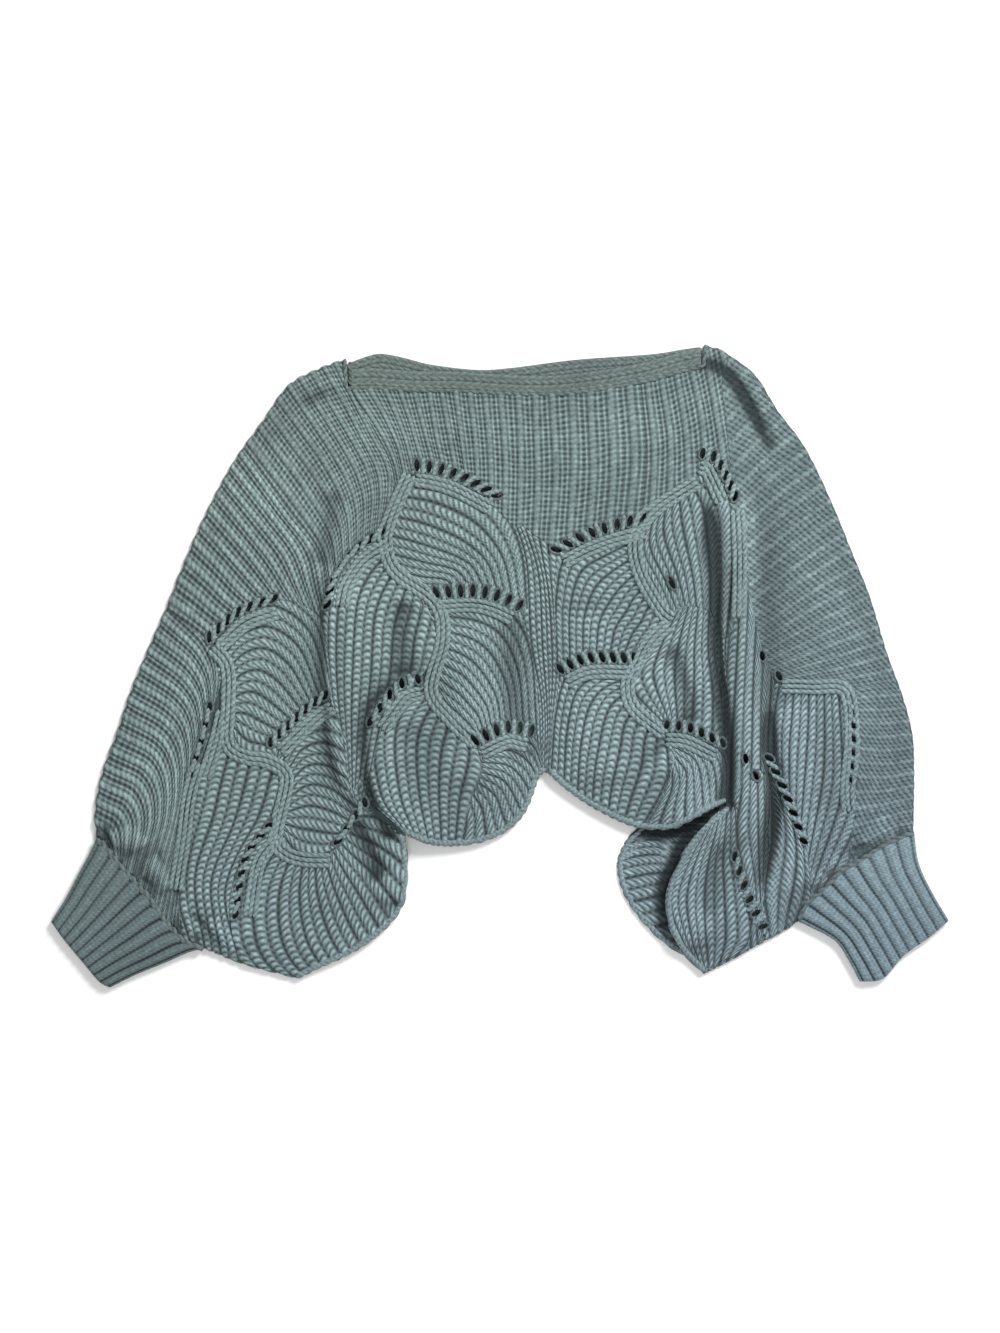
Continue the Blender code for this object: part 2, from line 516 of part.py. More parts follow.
def triangulate(loops, free):
    """Anticlockwise triangles over the area inside the first loop and outside the others."""
    points = np.vstack(list(loops) + [free])
    edges = []
    start = 0
    for loop in loops:
        count = len(loop)
        edges.extend((start + i, start + (i + 1) % count) for i in range(count))
        start += count
    result = delaunay_2d_cdt([Vector(p) for p in points], edges, [], 0, 1e-7)
    origin = [group[0] for group in result[3]]
    faces = np.array([[origin[v] for v in face] for face in result[2]])
    middle = points[faces].mean(axis=1)
    faces = faces[inside(middle, loops)]
    a, b, c = points[faces[:, 0]], points[faces[:, 1]], points[faces[:, 2]]
    turn = (b[:, 0] - a[:, 0]) * (c[:, 1] - a[:, 1]) - (b[:, 1] - a[:, 1]) * (c[:, 0] - a[:, 0])
    faces[turn < 0] = faces[turn < 0][:, ::-1]
    return points, faces


def sheet_solid(name, loops, upper, upper_height, lower, lower_height, finish):
    """A closed wall between an upper and a lower face that share their edge loops."""
    top_points, top_faces = triangulate(loops, upper)
    low_points, low_faces = triangulate(loops, lower)
    top = np.column_stack((top_points, upper_height(top_points)))
    low = np.column_stack((low_points, lower_height(low_points)))
    shift = len(top)
    walls = []
    start = 0
    for loop in loops:
        count = len(loop)
        for i in range(count):
            a, b = start + i, start + (i + 1) % count
            walls.append((a + shift, b + shift, b))
            walls.append((a + shift, b, a))
        start += count
    faces = np.vstack((top_faces, low_faces[:, ::-1] + shift, walls))
    return add_piece(name, np.vstack((top, low)), faces.tolist(), finish)


def add_piece(name, points, faces, finish):
    """One mesh object with its own yarn material, shaded smooth but for its sharp edges."""
    mesh = bpy.data.meshes.new(name)
    mesh.from_pydata([tuple(p) for p in points], [], faces)
    mesh.validate()
    mesh.shade_smooth()
    mesh.set_sharp_from_angle(angle=math.radians(55))
    colour, roughness = finish
    material = bpy.data.materials.new(name + "_yarn")
    material.use_nodes = True
    shader = material.node_tree.nodes["Principled BSDF"]
    shader.inputs["Base Color"].default_value = colour
    shader.inputs["Roughness"].default_value = roughness
    shader.inputs["Metallic"].default_value = 0.0
    mesh.materials.append(material)
    piece = bpy.data.objects.new(name, mesh)
    bpy.context.collection.objects.link(piece)
    return piece


def make_front():
    """The front panel: ribs and cords raised on its outer face, folds in both faces, eyelets cut through."""
    loops = [outline((SLEEVE_LEFT, *neck_edge(BAND_FRONT), SLEEVE_RIGHT, SEAM_RIGHT,
                      UNDERARM_RIGHT, SIDE_LOBE_RIGHT, HEM_RIGHT, HEM_CENTRE, SIDE_LOBE_LEFT, UNDERARM_LEFT,
                      SEAM_LEFT))]
    loops.extend(eyelets(EYELET_ARCS))
    placed, relief, plain = [], [], []
    for run in CORDS:
        points, height = cord_points(run)
        for index in keep_clear(points, loops, placed):
            placed.append(points[index])
            relief.append(height[index])
            plain.append(height[index] > 0)
    for field in RIB_FIELDS:
        grid, crest = rib_grid(field)
        points, crest = grid.reshape(-1, 2), crest.reshape(-1)
        for index in keep_clear(points, loops, placed):
            placed.append(points[index])
            relief.append(RIB_RELIEF if crest[index] else 0.0)
            plain.append(not crest[index])
    placed, relief, plain = np.array(placed), np.array(relief), np.array(plain)
    edge_count = sum(len(loop) for loop in loops)
    raised = np.concatenate((np.zeros(edge_count), relief))
    floor = PANEL_WALL + SEAM_GAP

    def outer(points):
        return floor + fold_height(points) + front_wall(points) + raised

    def inner(points):
        return floor + fold_height(points)

    return sheet_solid("front_panel", loops, placed, outer, placed[plain], inner, YARN)


def make_back():
    """The back panel: flat where it rests, with ribs on its inside where the front leaves it in view."""
    loops = [outline((SLEEVE_LEFT, *neck_edge(BAND_BACK), SLEEVE_RIGHT, SEAM_RIGHT,
                      UNDERARM_RIGHT, HEM_BACK, UNDERARM_LEFT, SEAM_LEFT))]
    loops.extend(eyelets([arc for arc in EYELET_ARCS if arc["name"] in BACK_ARCS], mirrored=True))
    front_hem = np.vstack((edge(SIDE_LOBE_RIGHT, UNDER_HEM_STEP), edge(HEM_RIGHT, UNDER_HEM_STEP)))
    placed = [front_hem[index] for index in keep_clear(front_hem, loops, [])]
    relief = [0.0] * len(placed)
    grid, crest = rib_grid(BACK_FIELD)
    points, crest = grid.reshape(-1, 2), crest.reshape(-1)
    in_view = beside(points, front_hem)[0] > CLEAR_OF_OUTLINE
    points, crest = points[in_view], crest[in_view]
    for index in keep_clear(points, loops, placed):
        placed.append(points[index])
        relief.append(RIB_RELIEF if crest[index] else 0.0)
    low, high = loops[0].min(axis=0), loops[0].max(axis=0)
    rows = np.arange(low[1], high[1], BACK_STEP)
    columns = np.arange(low[0], high[0], BACK_STEP)
    mesh_points = np.array([(x + (BACK_STEP / 2 if row % 2 else 0.0), y) for row, y in enumerate(rows)
                            for x in columns])
    coarse = keep_clear(mesh_points, loops, placed)
    placed.extend(mesh_points[index] for index in coarse)
    relief.extend(0.0 for index in coarse)
    edge_count = sum(len(loop) for loop in loops)
    raised = np.concatenate((np.zeros(edge_count), relief))

    def upper(points):
        rim = ease(distance_to_loop(points, loops[0]) / CLEAR_OF_OUTLINE)
        return RIM_WALL + (PANEL_WALL - RIM_WALL) * rim + raised

    def lower(points):
        return np.zeros(len(points))

    return sheet_solid("back_panel", loops, np.array(placed), upper, mesh_points[coarse], lower, YARN)


def ring_faces(rings, around):
    """Triangles between rings of points, each with the same number around."""
    faces = []
    for ring in range(rings - 1):
        for i in range(around):
            a, b = ring * around + i, ring * around + (i + 1) % around
            faces.append((a, b, b + around))
            faces.append((a, b + around, a + around))
    return faces


def cuff_section(height, wall, relief):
    """One closed section of a flattened tube as (place across 0 to 1, height), top run first."""
    ribs = np.linspace(CUFF_TURN, 1 - CUFF_TURN, 2 * CUFF_RIBS + 1)
    top = [(s, height - wall + (relief if i % 2 else 0.0)) for i, s in enumerate(ribs)]
    low = [(s, wall) for s in ribs[::-1]]
    right = [(1 - inset, height * up) for inset, up in CUFF_EDGE]
    left = [(inset, height * up) for inset, up in CUFF_EDGE[::-1]]
    return top + right + low + left


def make_cuff(cuff):
    """A flattened ribbed tube from the sleeve's seam to its end, with a plain inside."""
    seam = edge(cuff["seam"])
    end = smooth(plan(cuff["end"]))
    first = resample(smooth(plan(cuff["first"])), 24)
    last = resample(smooth(plan(cuff["last"])), 24)
    seam, end = resample(seam, 48), resample(end, 48)
    outward = end.mean(axis=0) - seam.mean(axis=0)
    outward = outward / np.linalg.norm(outward)
    corners = (first[0], last[0], first[-1], last[-1])

    def surface(s, t):
        """A blend of the four edges of the cuff; s runs across it and t from seam to end."""
        a = np.array([np.interp(s, np.linspace(0, 1, 49), seam[:, k]) for k in (0, 1)])
        b = np.array([np.interp(s, np.linspace(0, 1, 49), end[:, k]) for k in (0, 1)])
        c = np.array([np.interp(t, np.linspace(0, 1, 25), first[:, k]) for k in (0, 1)])
        d = np.array([np.interp(t, np.linspace(0, 1, 25), last[:, k]) for k in (0, 1)])
        flat = ((1 - t) * (1 - s) * corners[0] + (1 - t) * s * corners[1] + t * (1 - s) * corners[2]
                + t * s * corners[3])
        return (1 - t) * a + t * b + (1 - s) * c + s * d - flat + outward * CUFF_GAP * (1 - t)

    outer_section = cuff_section(CUFF_HEIGHT, 0.0, CUFF_RELIEF)
    inner_section = cuff_section(CUFF_HEIGHT, CUFF_WALL, 0.0)
    shrink = 1 - 2 * CUFF_WALL / np.linalg.norm(seam[0] - seam[-1])
    around = len(outer_section)
    points = []
    for t in np.linspace(0.0, 1.0, CUFF_STATIONS + 1):
        points.extend((*surface(s, t), z) for s, z in outer_section)
    for t in np.linspace(1.0, 0.0, 3):
        for s, z in inner_section:
            z = min(max(z, CUFF_WALL), CUFF_HEIGHT - CUFF_WALL)
            points.append((*surface(0.5 + (s - 0.5) * shrink, t), z))
    rings = CUFF_STATIONS + 4
    faces = ring_faces(rings, around)
    start = (rings - 1) * around
    for i in range(around):
        j = (i + 1) % around
        faces.append((start + i, start + j, j))
        faces.append((start + i, j, i))
    piece = add_piece(cuff["name"], points, faces, YARN_CUFF)
    turn_outward(piece)
    return piece


def turn_outward(piece):
    """Turns the faces round if the closed mesh encloses a volume below zero."""
    mesh = piece.data
    volume = 0.0
    for face in mesh.polygons:
        a, b, c = (mesh.vertices[v].co for v in face.vertices)
        volume += a.dot(b.cross(c))
    if volume < 0:
        mesh.flip_normals()


def make_band():
    """The neck band: a flattened ring with a back run on the floor and a front run on top of it."""
    front = resample(smooth(plan(BAND_FRONT)), BAND_STATIONS)
    back = resample(smooth(plan(BAND_BACK)), BAND_STATIONS)
    turn = np.linspace(0.0, math.pi, BAND_TURN_STATIONS + 2)[1:-1]
    depth = BAND_DEPTH * SQUARE
    low, high = BAND_WALL / 2, BAND_WALL / 2 + BAND_LIFT
    middle, radius = (low + high) / 2, BAND_LIFT / 2
    stations = []
    for point in front:
        stations.append((point, high, math.pi / 2))
    for angle in turn:
        share = min(1.0, 2 * angle / math.pi)
        point = front[-1] * (1 - share) + back[-1] * share + np.array((radius * math.sin(angle), 0))
        stations.append((point, middle + radius * math.cos(angle), math.pi / 2 - angle))
    for point in back[::-1]:
        stations.append((point, low, -math.pi / 2))
    for angle in turn:
        share = max(0.0, 2 * angle / math.pi - 1)
        point = back[0] * (1 - share) + front[0] * share - np.array((radius * math.sin(angle), 0))
        stations.append((point, middle - radius * math.cos(angle), -math.pi / 2 - angle))
    points = []
    for point, height, lean in stations:
        out = np.array((math.cos(lean), math.sin(lean))) * BAND_WALL / 2
        for sign, drop in ((1, 0.0), (1, depth), (-1, depth), (-1, 0.0)):
            points.append((point[0] + sign * out[0], point[1] - drop, height + sign * out[1]))
    points.extend(points[:4])
    faces = ring_faces(len(stations) + 1, 4)
    count = len(stations) * 4
    faces = [tuple(v % count for v in face) for face in faces]
    piece = add_piece("neckband", points[:count], faces, YARN_BAND)
    turn_outward(piece)
    return piece


JOINED_RUNS = joined_edges()


def main():
    """Clears the scene and builds the five pieces."""
    for old in list(bpy.data.objects):
        bpy.data.objects.remove(old, do_unlink=True)
    make_back()
    make_front()
    make_band()
    for cuff in CUFFS:
        make_cuff(cuff)


main()
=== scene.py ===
"""Looks of the cropped open-knit sweater, laid flat with its front up.

Places in plan are given in chart squares, x to the right and y down, as in the part's source. Every knitted
surface is a grid of points worked out as whole arrays: ribs are strips of stitches carried along their lines,
cords are twisted tubes along theirs, and the panels are sheets over a map of heights.
"""

import math

import bpy
import numpy as np
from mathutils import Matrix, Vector


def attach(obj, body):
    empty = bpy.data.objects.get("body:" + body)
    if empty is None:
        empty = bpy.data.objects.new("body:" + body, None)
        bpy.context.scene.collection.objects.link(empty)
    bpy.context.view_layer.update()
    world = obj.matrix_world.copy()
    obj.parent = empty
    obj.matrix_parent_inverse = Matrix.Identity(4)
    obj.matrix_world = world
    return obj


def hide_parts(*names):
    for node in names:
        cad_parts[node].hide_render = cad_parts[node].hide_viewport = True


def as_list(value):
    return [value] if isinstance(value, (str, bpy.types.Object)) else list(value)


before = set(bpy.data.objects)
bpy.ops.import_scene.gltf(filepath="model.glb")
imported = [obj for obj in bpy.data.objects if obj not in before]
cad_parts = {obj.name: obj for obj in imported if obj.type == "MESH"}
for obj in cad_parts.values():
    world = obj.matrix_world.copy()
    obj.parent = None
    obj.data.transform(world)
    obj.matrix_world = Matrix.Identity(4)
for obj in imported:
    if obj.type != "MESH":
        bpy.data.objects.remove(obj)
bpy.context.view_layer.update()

# Sizes that the part's source shares, in metres, or in chart squares for the chart's span and centre and the
# band's depth and seam
SPAN = 0.790
CHART_SPAN = 897.0
CHART_CENTRE = (500.0, 666.5)
SQUARE = SPAN / CHART_SPAN
PANEL_WALL = 0.0032
SEAM_GAP = 0.0003
PILLOW = 0.0025
PILLOW_REACH = 0.045
JOINED_RIM = 0.022
SETTLE = 0.0006
EYELET_WIDTH = 0.0050
CUFF_WALL = 0.0028
CUFF_GAP = 0.0008
CUFF_RIBS = 9
BAND_WALL = 0.0030
BAND_LIFT = 0.0039
BAND_DEPTH = 18.5
BAND_SEAM = 0.8
FLOOR_OF_FRONT = PANEL_WALL + SEAM_GAP

# The grids: the steps of the maps over the plan and of the two ground sheets, how many steps a rib field's
# runs have, the stations that a stitch has along its rib, and the samples across a rib from valley to
# valley. The last two come twice, for ribs without and with a thread beside their loops
MAP_STEP = 0.0020
GROUND_STEP = 0.0041
BACK_STEP = 0.0046
RUN_STEPS = 160
PETAL_STATIONS = 5.2
WIDE_STATIONS = 4.8
ACROSS_PETAL = np.array((-1.0, -0.82, -0.6, -0.3, 0.0, 0.3, 0.6, 0.82, 1.0))
ACROSS_WIDE = np.array((-1.0, -0.86, -0.70, -0.54, -0.40, -0.20, 0.0,
                        0.20, 0.40, 0.54, 0.70, 0.86, 1.0))

# The ribs, in metres: the usual width, and how far the foot, the loops, the threads and the ground between
# them stand over the panel's inner face, with the least that any stitch does
RIB_WIDTH = 0.015
RIB_FOOT = 0.0017
RIB_RISE = 0.0032
THREAD_RISE = 0.0024
BASE_RISE = 0.0030
LEAST_KNIT = 0.0010

# How a rib ends, in metres: how far its crest reaches past the panel's edge and how much less all of it
# reaches, the width in which it rolls down there and how much narrower that is beside the neck, how wide
# the zones beside the neck and the joined edges are, how low a rolled rib comes, as a height over the inner
# face and over the floor at a joined edge, half the width in which two fields meet and how far the ribs
# sink there, the ribs and the length that each field has to spare, and how far spare knit may lie inside
# its own field's loop, and any knit past the panel's edge before it is cut
EDGE_REACH = 0.0016
EDGE_SLACK = 0.0002
EDGE_ROLL = 0.0050
NECK_CRISP = 0.0034
EDGE_ZONE = 0.012
ROLLED_FOOT = 0.0002
JOINED_FOOT = 0.0016
FIELD_MEET = 0.0009
MEET_SINK = 0.0006
SPARE_RIBS = 3
SPARE_LENGTH = 0.040
SPARE_REACH = 0.0012
UNCUT_REACH = 0.004

# What makes the knit uneven: how many random numbers a rib has for its stitches, how far the rows wander,
# in stitches, how far a rib sways, over what length and in which direction, how much of a crease's depth
# the ribs sink, and how far they rise and fall in the gathers
SEEDS = 257
ROW_WANDER = 0.28
SWAY = 0.0006
SWAY_LENGTH = 0.021
SWAY_WAY = np.array((1.0, 0.4))
CREASE_SINK = 0.5
GATHER_RISE = 0.0012

# How much painted shade darkens the yarn in hollows, for each metre of a crease's depth and in the gathers,
# the most that it gets, and for the back's inside lobe: where on the plan its painted shade starts to darken
# downwards and over what length, and how wide the painted shadow beside the front's edge is and in what
# width it fades. On a ridge the first two lighten the yarn instead, as painted light
HOLLOW_SHADE = 0.92
CREASE_SHADE = 255.0
GATHER_SHADE = 0.45
DARKEST_HOLLOW = 0.84
LOBE_SHADE_TOP = -0.190
LOBE_SHADE_LENGTH = 0.08
LOBE_STRIP = 0.006
LOBE_STRIP_FADE = 0.009

# The pitch of the fine twist in the yarn's look, as its wave texture counts it
PANEL_TWIST = 150.0
CUFF_TWIST = 200.0

# The ground sheets: the front's thickness and how much of a crease's depth it sinks, how far the sheets
# stay inside the panel's edge, and how much wider their eyelets are than the ribs' eyelets. The back's
# heights: its top where it is covered and where it shows, with the width of the step between them, the foot
# of its inside ribs and of their rolled edge, and underneath its ribs and its creases, with the half width
# of a crease
GROUND_WALL = 0.0019
GROUND_SINK = 0.60
SHEET_INSET = 0.0006
EYELET_ROOM = 1.12
BACK_TOP = 0.0030
BACK_TOP_SHOWN = 0.0024
BACK_TOP_STEP = 0.004
BACK_FOOT = 0.0008
BACK_ROLLED_FOOT = 0.0003
BACK_RIB_RISE = 0.0005
BACK_CREASE_RISE = 0.0007
BACK_CREASE_REACH = 0.006

# The cords and cast-off edges, in metres: half the width, how high the section is for its width, and the
# length in which each ply turns half round
PETAL_CORD = {"radius": 0.0022, "flat": 0.80, "pitch": 0.0060}
ARC_CORD = {"radius": 0.0021, "flat": 0.80, "pitch": 0.0060}
LINING = {"radius": 0.0013, "flat": 1.5, "pitch": 0.0040, "sides": 6, "step": 0.0016}
STRAND = {"radius": 0.0021, "flat": 0.9, "pitch": 0.0052}
HEM = {"radius": 0.0026, "flat": 0.95, "pitch": 0.0044}
BACK_HEM = {"radius": 0.0024, "flat": 0.95, "pitch": 0.0044}
FOLDED_EDGE = {"radius": 0.0028, "flat": 0.95, "pitch": 0.0060}
NECK_SEAM = {"radius": 0.0019, "flat": 0.95, "pitch": 0.0075}
CUFF_SEAM = {"radius": 0.0026, "flat": 0.80, "pitch": 0.0085}

# Where the cords' middles lie, in metres: above the front's inner face for those on the front, above the
# floor for the folded edges, the seams and the back's hem, and how far inside the panel's edge
CORD_HEIGHT = 0.0037
LINING_HEIGHT = 0.0026
STRAND_HEIGHT = 0.0040
HEM_HEIGHT = 0.0022
FOLDED_HEIGHT = 0.0030
NECK_SEAM_HEIGHT = 0.0064
CUFF_SEAM_HEIGHT = 0.0076
BACK_HEM_HEIGHT = 0.0024
HEM_INSET = 0.0024
FOLDED_INSET = 0.0030

# The cords' layout, in metres: the steps of their plan lines and of their rings, the three cords side by
# side round a petal and under an arc, the room between a petal's cord and an eyelet, how far outside an
# eyelet its rim and its strands reach, how near the next eyelet of an arc is, and how far the cuffs' seams
# wander
LINE_STEP = 0.003
CORD_STEP = 0.0019
PETAL_CORD_OFFSETS = (-0.0044, 0.0, 0.0044)
ARC_CORD_OFFSETS = (0.0084, 0.0127, 0.0170)
PETAL_CORD_MARGIN = 0.0024
LINING_OUTSIDE = 0.0010
STRAND_OUTSIDE = 0.0022
NEIGHBOUR_REACH = 0.016
CUFF_SEAM_WANDER = 0.0007

# The cuffs: the height, the depth of the relief above and below, a row's length and a cuff's width as its
# yarn coordinates count it, in metres, and the share of the width that each rounded side has. Then their
# grids: the seam's step, the steps of an edge, the samples across a rib, the rings inside and the step
# along the cuff
CUFF_TOP = 0.0100
CUFF_TOP_RELIEF = 0.0024
CUFF_LOW_RELIEF = 0.0006
CUFF_ROW = 0.0036
CUFF_WIDTH = 0.12
CUFF_SIDE = 0.03
CUFF_SEAM_STEP = 0.014
CUFF_EDGE_STEPS = 48
CUFF_RIB_SAMPLES = 10
CUFF_INNER_RINGS = 12
CUFF_STATION = 0.0012

# The neck band: its rows, and in metres a stitch's length, how wide its rolled edges are, how far its valleys
# lie inside the wall's face and its ridges over the valleys, and its least height over the floor. Then its
# grid's steps along each run and samples across each face
BAND_ROWS = 4.0
BAND_STITCH = 0.0075
BAND_ROLL = 0.0020
BAND_SUNK = 0.0008
BAND_RELIEF = 0.0018
BAND_LEAST = 0.0002
BAND_STEPS = 300
BAND_SAMPLES = 19

# The panels' edges on the chart, one smooth stretch a row, in the order they follow each other
SLEEVE_LEFT = ((98, 838), (96, 812), (103, 774), (119, 730), (132, 691), (150, 648), (167, 609), (182, 571),
               (206, 516), (235, 462), (264, 421), (289, 386), (318, 370), (345, 360))
SLEEVE_RIGHT = ((705, 346), (718, 350), (739, 362), (758, 379), (777, 410), (801, 442), (818, 473),
                (838, 518), (852, 553), (870, 598), (887, 654), (902, 695), (912, 734),
                (914, 774), (913, 832))
SEAM_RIGHT = ((913, 832), (884, 845), (857, 862), (842, 870), (823, 889), (807, 903), (798, 921))
SEAM_LEFT = ((205, 948), (185, 941), (169, 924), (145, 892), (119, 863), (98, 838))
UNDERARM_RIGHT = ((798, 921), (775, 935), (752, 947), (733, 958), (703, 973))
UNDERARM_LEFT = ((298, 978), (271, 971), (245, 964), (205, 948))
SIDE_LOBE_RIGHT = ((703, 973), (679, 946), (667, 918), (667, 888), (678, 862), (686, 845), (702, 825),
                   (727, 805))
HEM_RIGHT = ((727, 802), (710, 808), (686, 821), (670, 828), (638, 827), (606, 814), (576, 796), (554, 778),
             (547, 770))
HEM_CENTRE = ((547, 770), (538, 777), (534, 790), (524, 813), (507, 830), (483, 841), (456, 845), (429, 843),
              (403, 832))
SIDE_LOBE_LEFT = ((403, 832), (407, 850), (407, 884), (401, 909), (381, 932), (354, 951), (316, 969),
                  (298, 978))
HEM_BACK = ((703, 973), (687, 958), (660, 939), (636, 913), (622, 888), (618, 862), (627, 840), (641, 822),
            (618, 800), (585, 780), (545, 762), (500, 755), (456, 762), (416, 780), (383, 800), (360, 822),
            (374, 840), (383, 862), (379, 888), (365, 913), (341, 939), (314, 958), (298, 978))

# Eyelet arcs: the arc on the chart, how many eyelets it has, the tilt of its first and last eyelet in
# degrees from the chart's x, rising to the right, how long an eyelet is, in millimetres, and the side on
# which the petal's smooth edge cords run: 1 for the right hand of the arc's way, -1 for the left, 0 for none
EYELET_ARCS = (
    {"name": "yoke_left", "arc": ((417, 466), (440, 470), (463, 478), (497, 496)), "count": 8,
     "tilt": (95, 5), "long": 11.2, "side": 1},
    {"name": "side_left", "arc": ((382, 532), (353, 552), (334, 580), (328, 605)), "count": 8,
     "tilt": (62, 46), "long": 10.6, "side": -1},
    {"name": "sleeve_left", "arc": ((274, 599), (239, 612), (210, 637)), "count": 7,
     "tilt": (48, 88), "long": 10.8, "side": -1},
    {"name": "middle_left", "arc": ((436, 593), (472, 591), (497, 596), (519, 606)), "count": 8,
     "tilt": (112, 55), "long": 11.6, "side": 1},
    {"name": "yoke_right", "arc": ((642, 518), (606, 528), (582, 537), (556, 550)), "count": 8,
     "tilt": (60, 165), "long": 10.6, "side": -1},
    {"name": "shoulder_right", "arc": ((702, 454), (717, 461), (734, 497)), "count": 6,
     "tilt": (78, 72), "long": 10.0, "side": 1},
    {"name": "lone_right", "arc": ((671, 583), (675, 591)), "count": 1, "tilt": (115, 115), "long": 12.0,
     "side": 0},
    {"name": "middle_right", "arc": ((560, 669), (588, 658), (634, 658)), "count": 8,
     "tilt": (122, 105), "long": 10.6, "side": 1},
    {"name": "hem_right", "arc": ((666, 725), (690, 728), (722, 743)), "count": 6,
     "tilt": (80, 105), "long": 8.8, "side": 1},
    {"name": "hem_left", "arc": ((475, 740), (506, 727), (531, 731)), "count": 6,
     "tilt": (125, 72), "long": 11.6, "side": 1},
    {"name": "fold_left", "arc": ((418, 679), (397, 687), (371, 721)), "count": 5,
     "tilt": (105, 70), "long": 9.4, "side": -1},
    {"name": "low_left", "arc": ((326, 695), (307, 708), (271, 742)), "count": 7,
     "tilt": (68, 88), "long": 9.6, "side": -1},
    {"name": "cord_left", "arc": ((210, 707), (202, 740), (191, 774)), "count": 5,
     "tilt": (82, 70), "long": 9.4, "side": -1},
    {"name": "lobe_left", "arc": ((270, 825), (246, 858), (236, 914)), "count": 8,
     "tilt": (20, 66), "long": 8.8, "side": -1},
    {"name": "lobe_left_end", "arc": ((365, 802), (352, 820), (338, 841)), "count": 4,
     "tilt": (100, 32), "long": 9.4, "side": 0},
    {"name": "sleeve_right", "arc": ((761, 656), (768, 663), (778, 676)), "count": 2,
     "tilt": (100, 118), "long": 9.0, "side": 0},
    {"name": "cord_right", "arc": ((848, 698), (853, 740), (851, 780)), "count": 7,
     "tilt": (130, 150), "long": 7.0, "side": 0},
    {"name": "fold_right", "arc": ((744, 758), (754, 775)), "count": 2, "tilt": (98, 118), "long": 9.4,
     "side": 0},
    {"name": "low_right", "arc": ((768, 758), (785, 794), (802, 840)), "count": 7,
     "tilt": (150, 148), "long": 9.6, "side": 0},
    {"name": "lobe_right", "arc": ((734, 856), (745, 890), (762, 926)), "count": 6,
     "tilt": (80, 22), "long": 9.4, "side": 0},
)
BACK_ARCS = ("yoke_left", "side_left", "sleeve_left", "middle_left", "yoke_right")

# The four looks of the knit. row is a stitch's length in metres. high is how much of the full rise the
# loops have and edge how far the ribs stand out at the panel's edge. Across a rib, where 0 is its middle
# and 1 its valley, inner is where the loop ends, and small_reach and dot_reach are how far the dots beside
# the loop and in the valley spread. slant is how far a stitch leans over half a rib, and skew how far the
# rows shift over half a rib where they run on from rib to rib, both in stitches. The rest are tones from 0
# to 1 that set the painted shade in the knit's hollows: gap is how dark it is between two rows, loop and
# thread how pale the loop and the thread beside it are, small how dark the small dots are, base how pale
# the ground is at least, valley how dark a whole valley is, and pair how much darker and deeper each
# second one is
PLAIN_KNIT = {"high": 1.0, "edge": 1.0, "dot_reach": 0.24, "small_reach": 0.15, "skew": 0.0, "valley": 0.0,
              "pair": 0.0}
KNITS = {
    "column": dict(PLAIN_KNIT, row=0.0046, inner=0.44, slant=0.50, gap=0.50, loop=0.62, thread=0.92,
                   small=0.74, base=0.40),
    "petal": dict(PLAIN_KNIT, row=0.0058, inner=0.72, slant=0.75, gap=0.90, loop=1.0, thread=0.0, small=0.0,
                  base=0.61, edge=0.8, pair=0.74),
    "sleeve": dict(PLAIN_KNIT, row=0.0054, inner=0.42, slant=0.80, gap=0.65, loop=0.84, thread=0.90,
                   small=0.86, base=0.43, valley=0.55),
    "lattice": dict(PLAIN_KNIT, row=0.0048, inner=0.333, slant=0.0, gap=0.0, loop=0.61, thread=0.63,
                    small=1.0, base=0.44, skew=0.75, edge=0.35, high=0.74, dot_reach=0.27, small_reach=0.25),
}

# Rib fields by piece: how many ribs a field has, and the run of its first, middle and last rib on the chart
YOKE_FIELDS = (
    {"name": "yoke_left", "ribs": 7, "knit": "column", "runs": (
        ((345, 389), (375, 432), (392, 468), (398, 505)), ((400, 388), (412, 425), (420, 455)),
        ((448, 389), (455, 430), (462, 472)))},
    {"name": "yoke_middle", "ribs": 11, "knit": "column", "runs": (
        ((448, 389), (455, 430), (462, 472)), ((535, 394), (538, 470), (535, 535)),
        ((640, 384), (645, 450), (640, 515)))},
    {"name": "yoke_right", "ribs": 5, "knit": "column", "runs": (
        ((640, 384), (646, 450), (642, 515)), ((676, 374), (686, 430), (688, 480)),
        ((713, 352), (722, 400), (735, 480)))},
)
SLEEVE_LEFT_FIELDS = (
    {"name": "shoulder_left", "ribs": 9, "knit": "column", "runs": (
        ((345, 368), (375, 432), (394, 475), (388, 528)), ((290, 388), (335, 455), (355, 500), (358, 545)),
        ((244, 448), (290, 510), (320, 552), (330, 590)))},
    {"name": "sleeve_left", "ribs": 10, "knit": "sleeve", "runs": (
        ((244, 448), (290, 510), (320, 552), (328, 600)), ((206, 516), (245, 560), (272, 594)),
        ((167, 609), (190, 624), (208, 638)))},
    {"name": "sleeve_left_low", "ribs": 13, "knit": "sleeve", "runs": (
        ((167, 609), (206, 650), (214, 700), (192, 785), (178, 925)),
        ((124, 715), (168, 745), (176, 800), (152, 895)), ((98, 832), (106, 840), (114, 854)))},
)
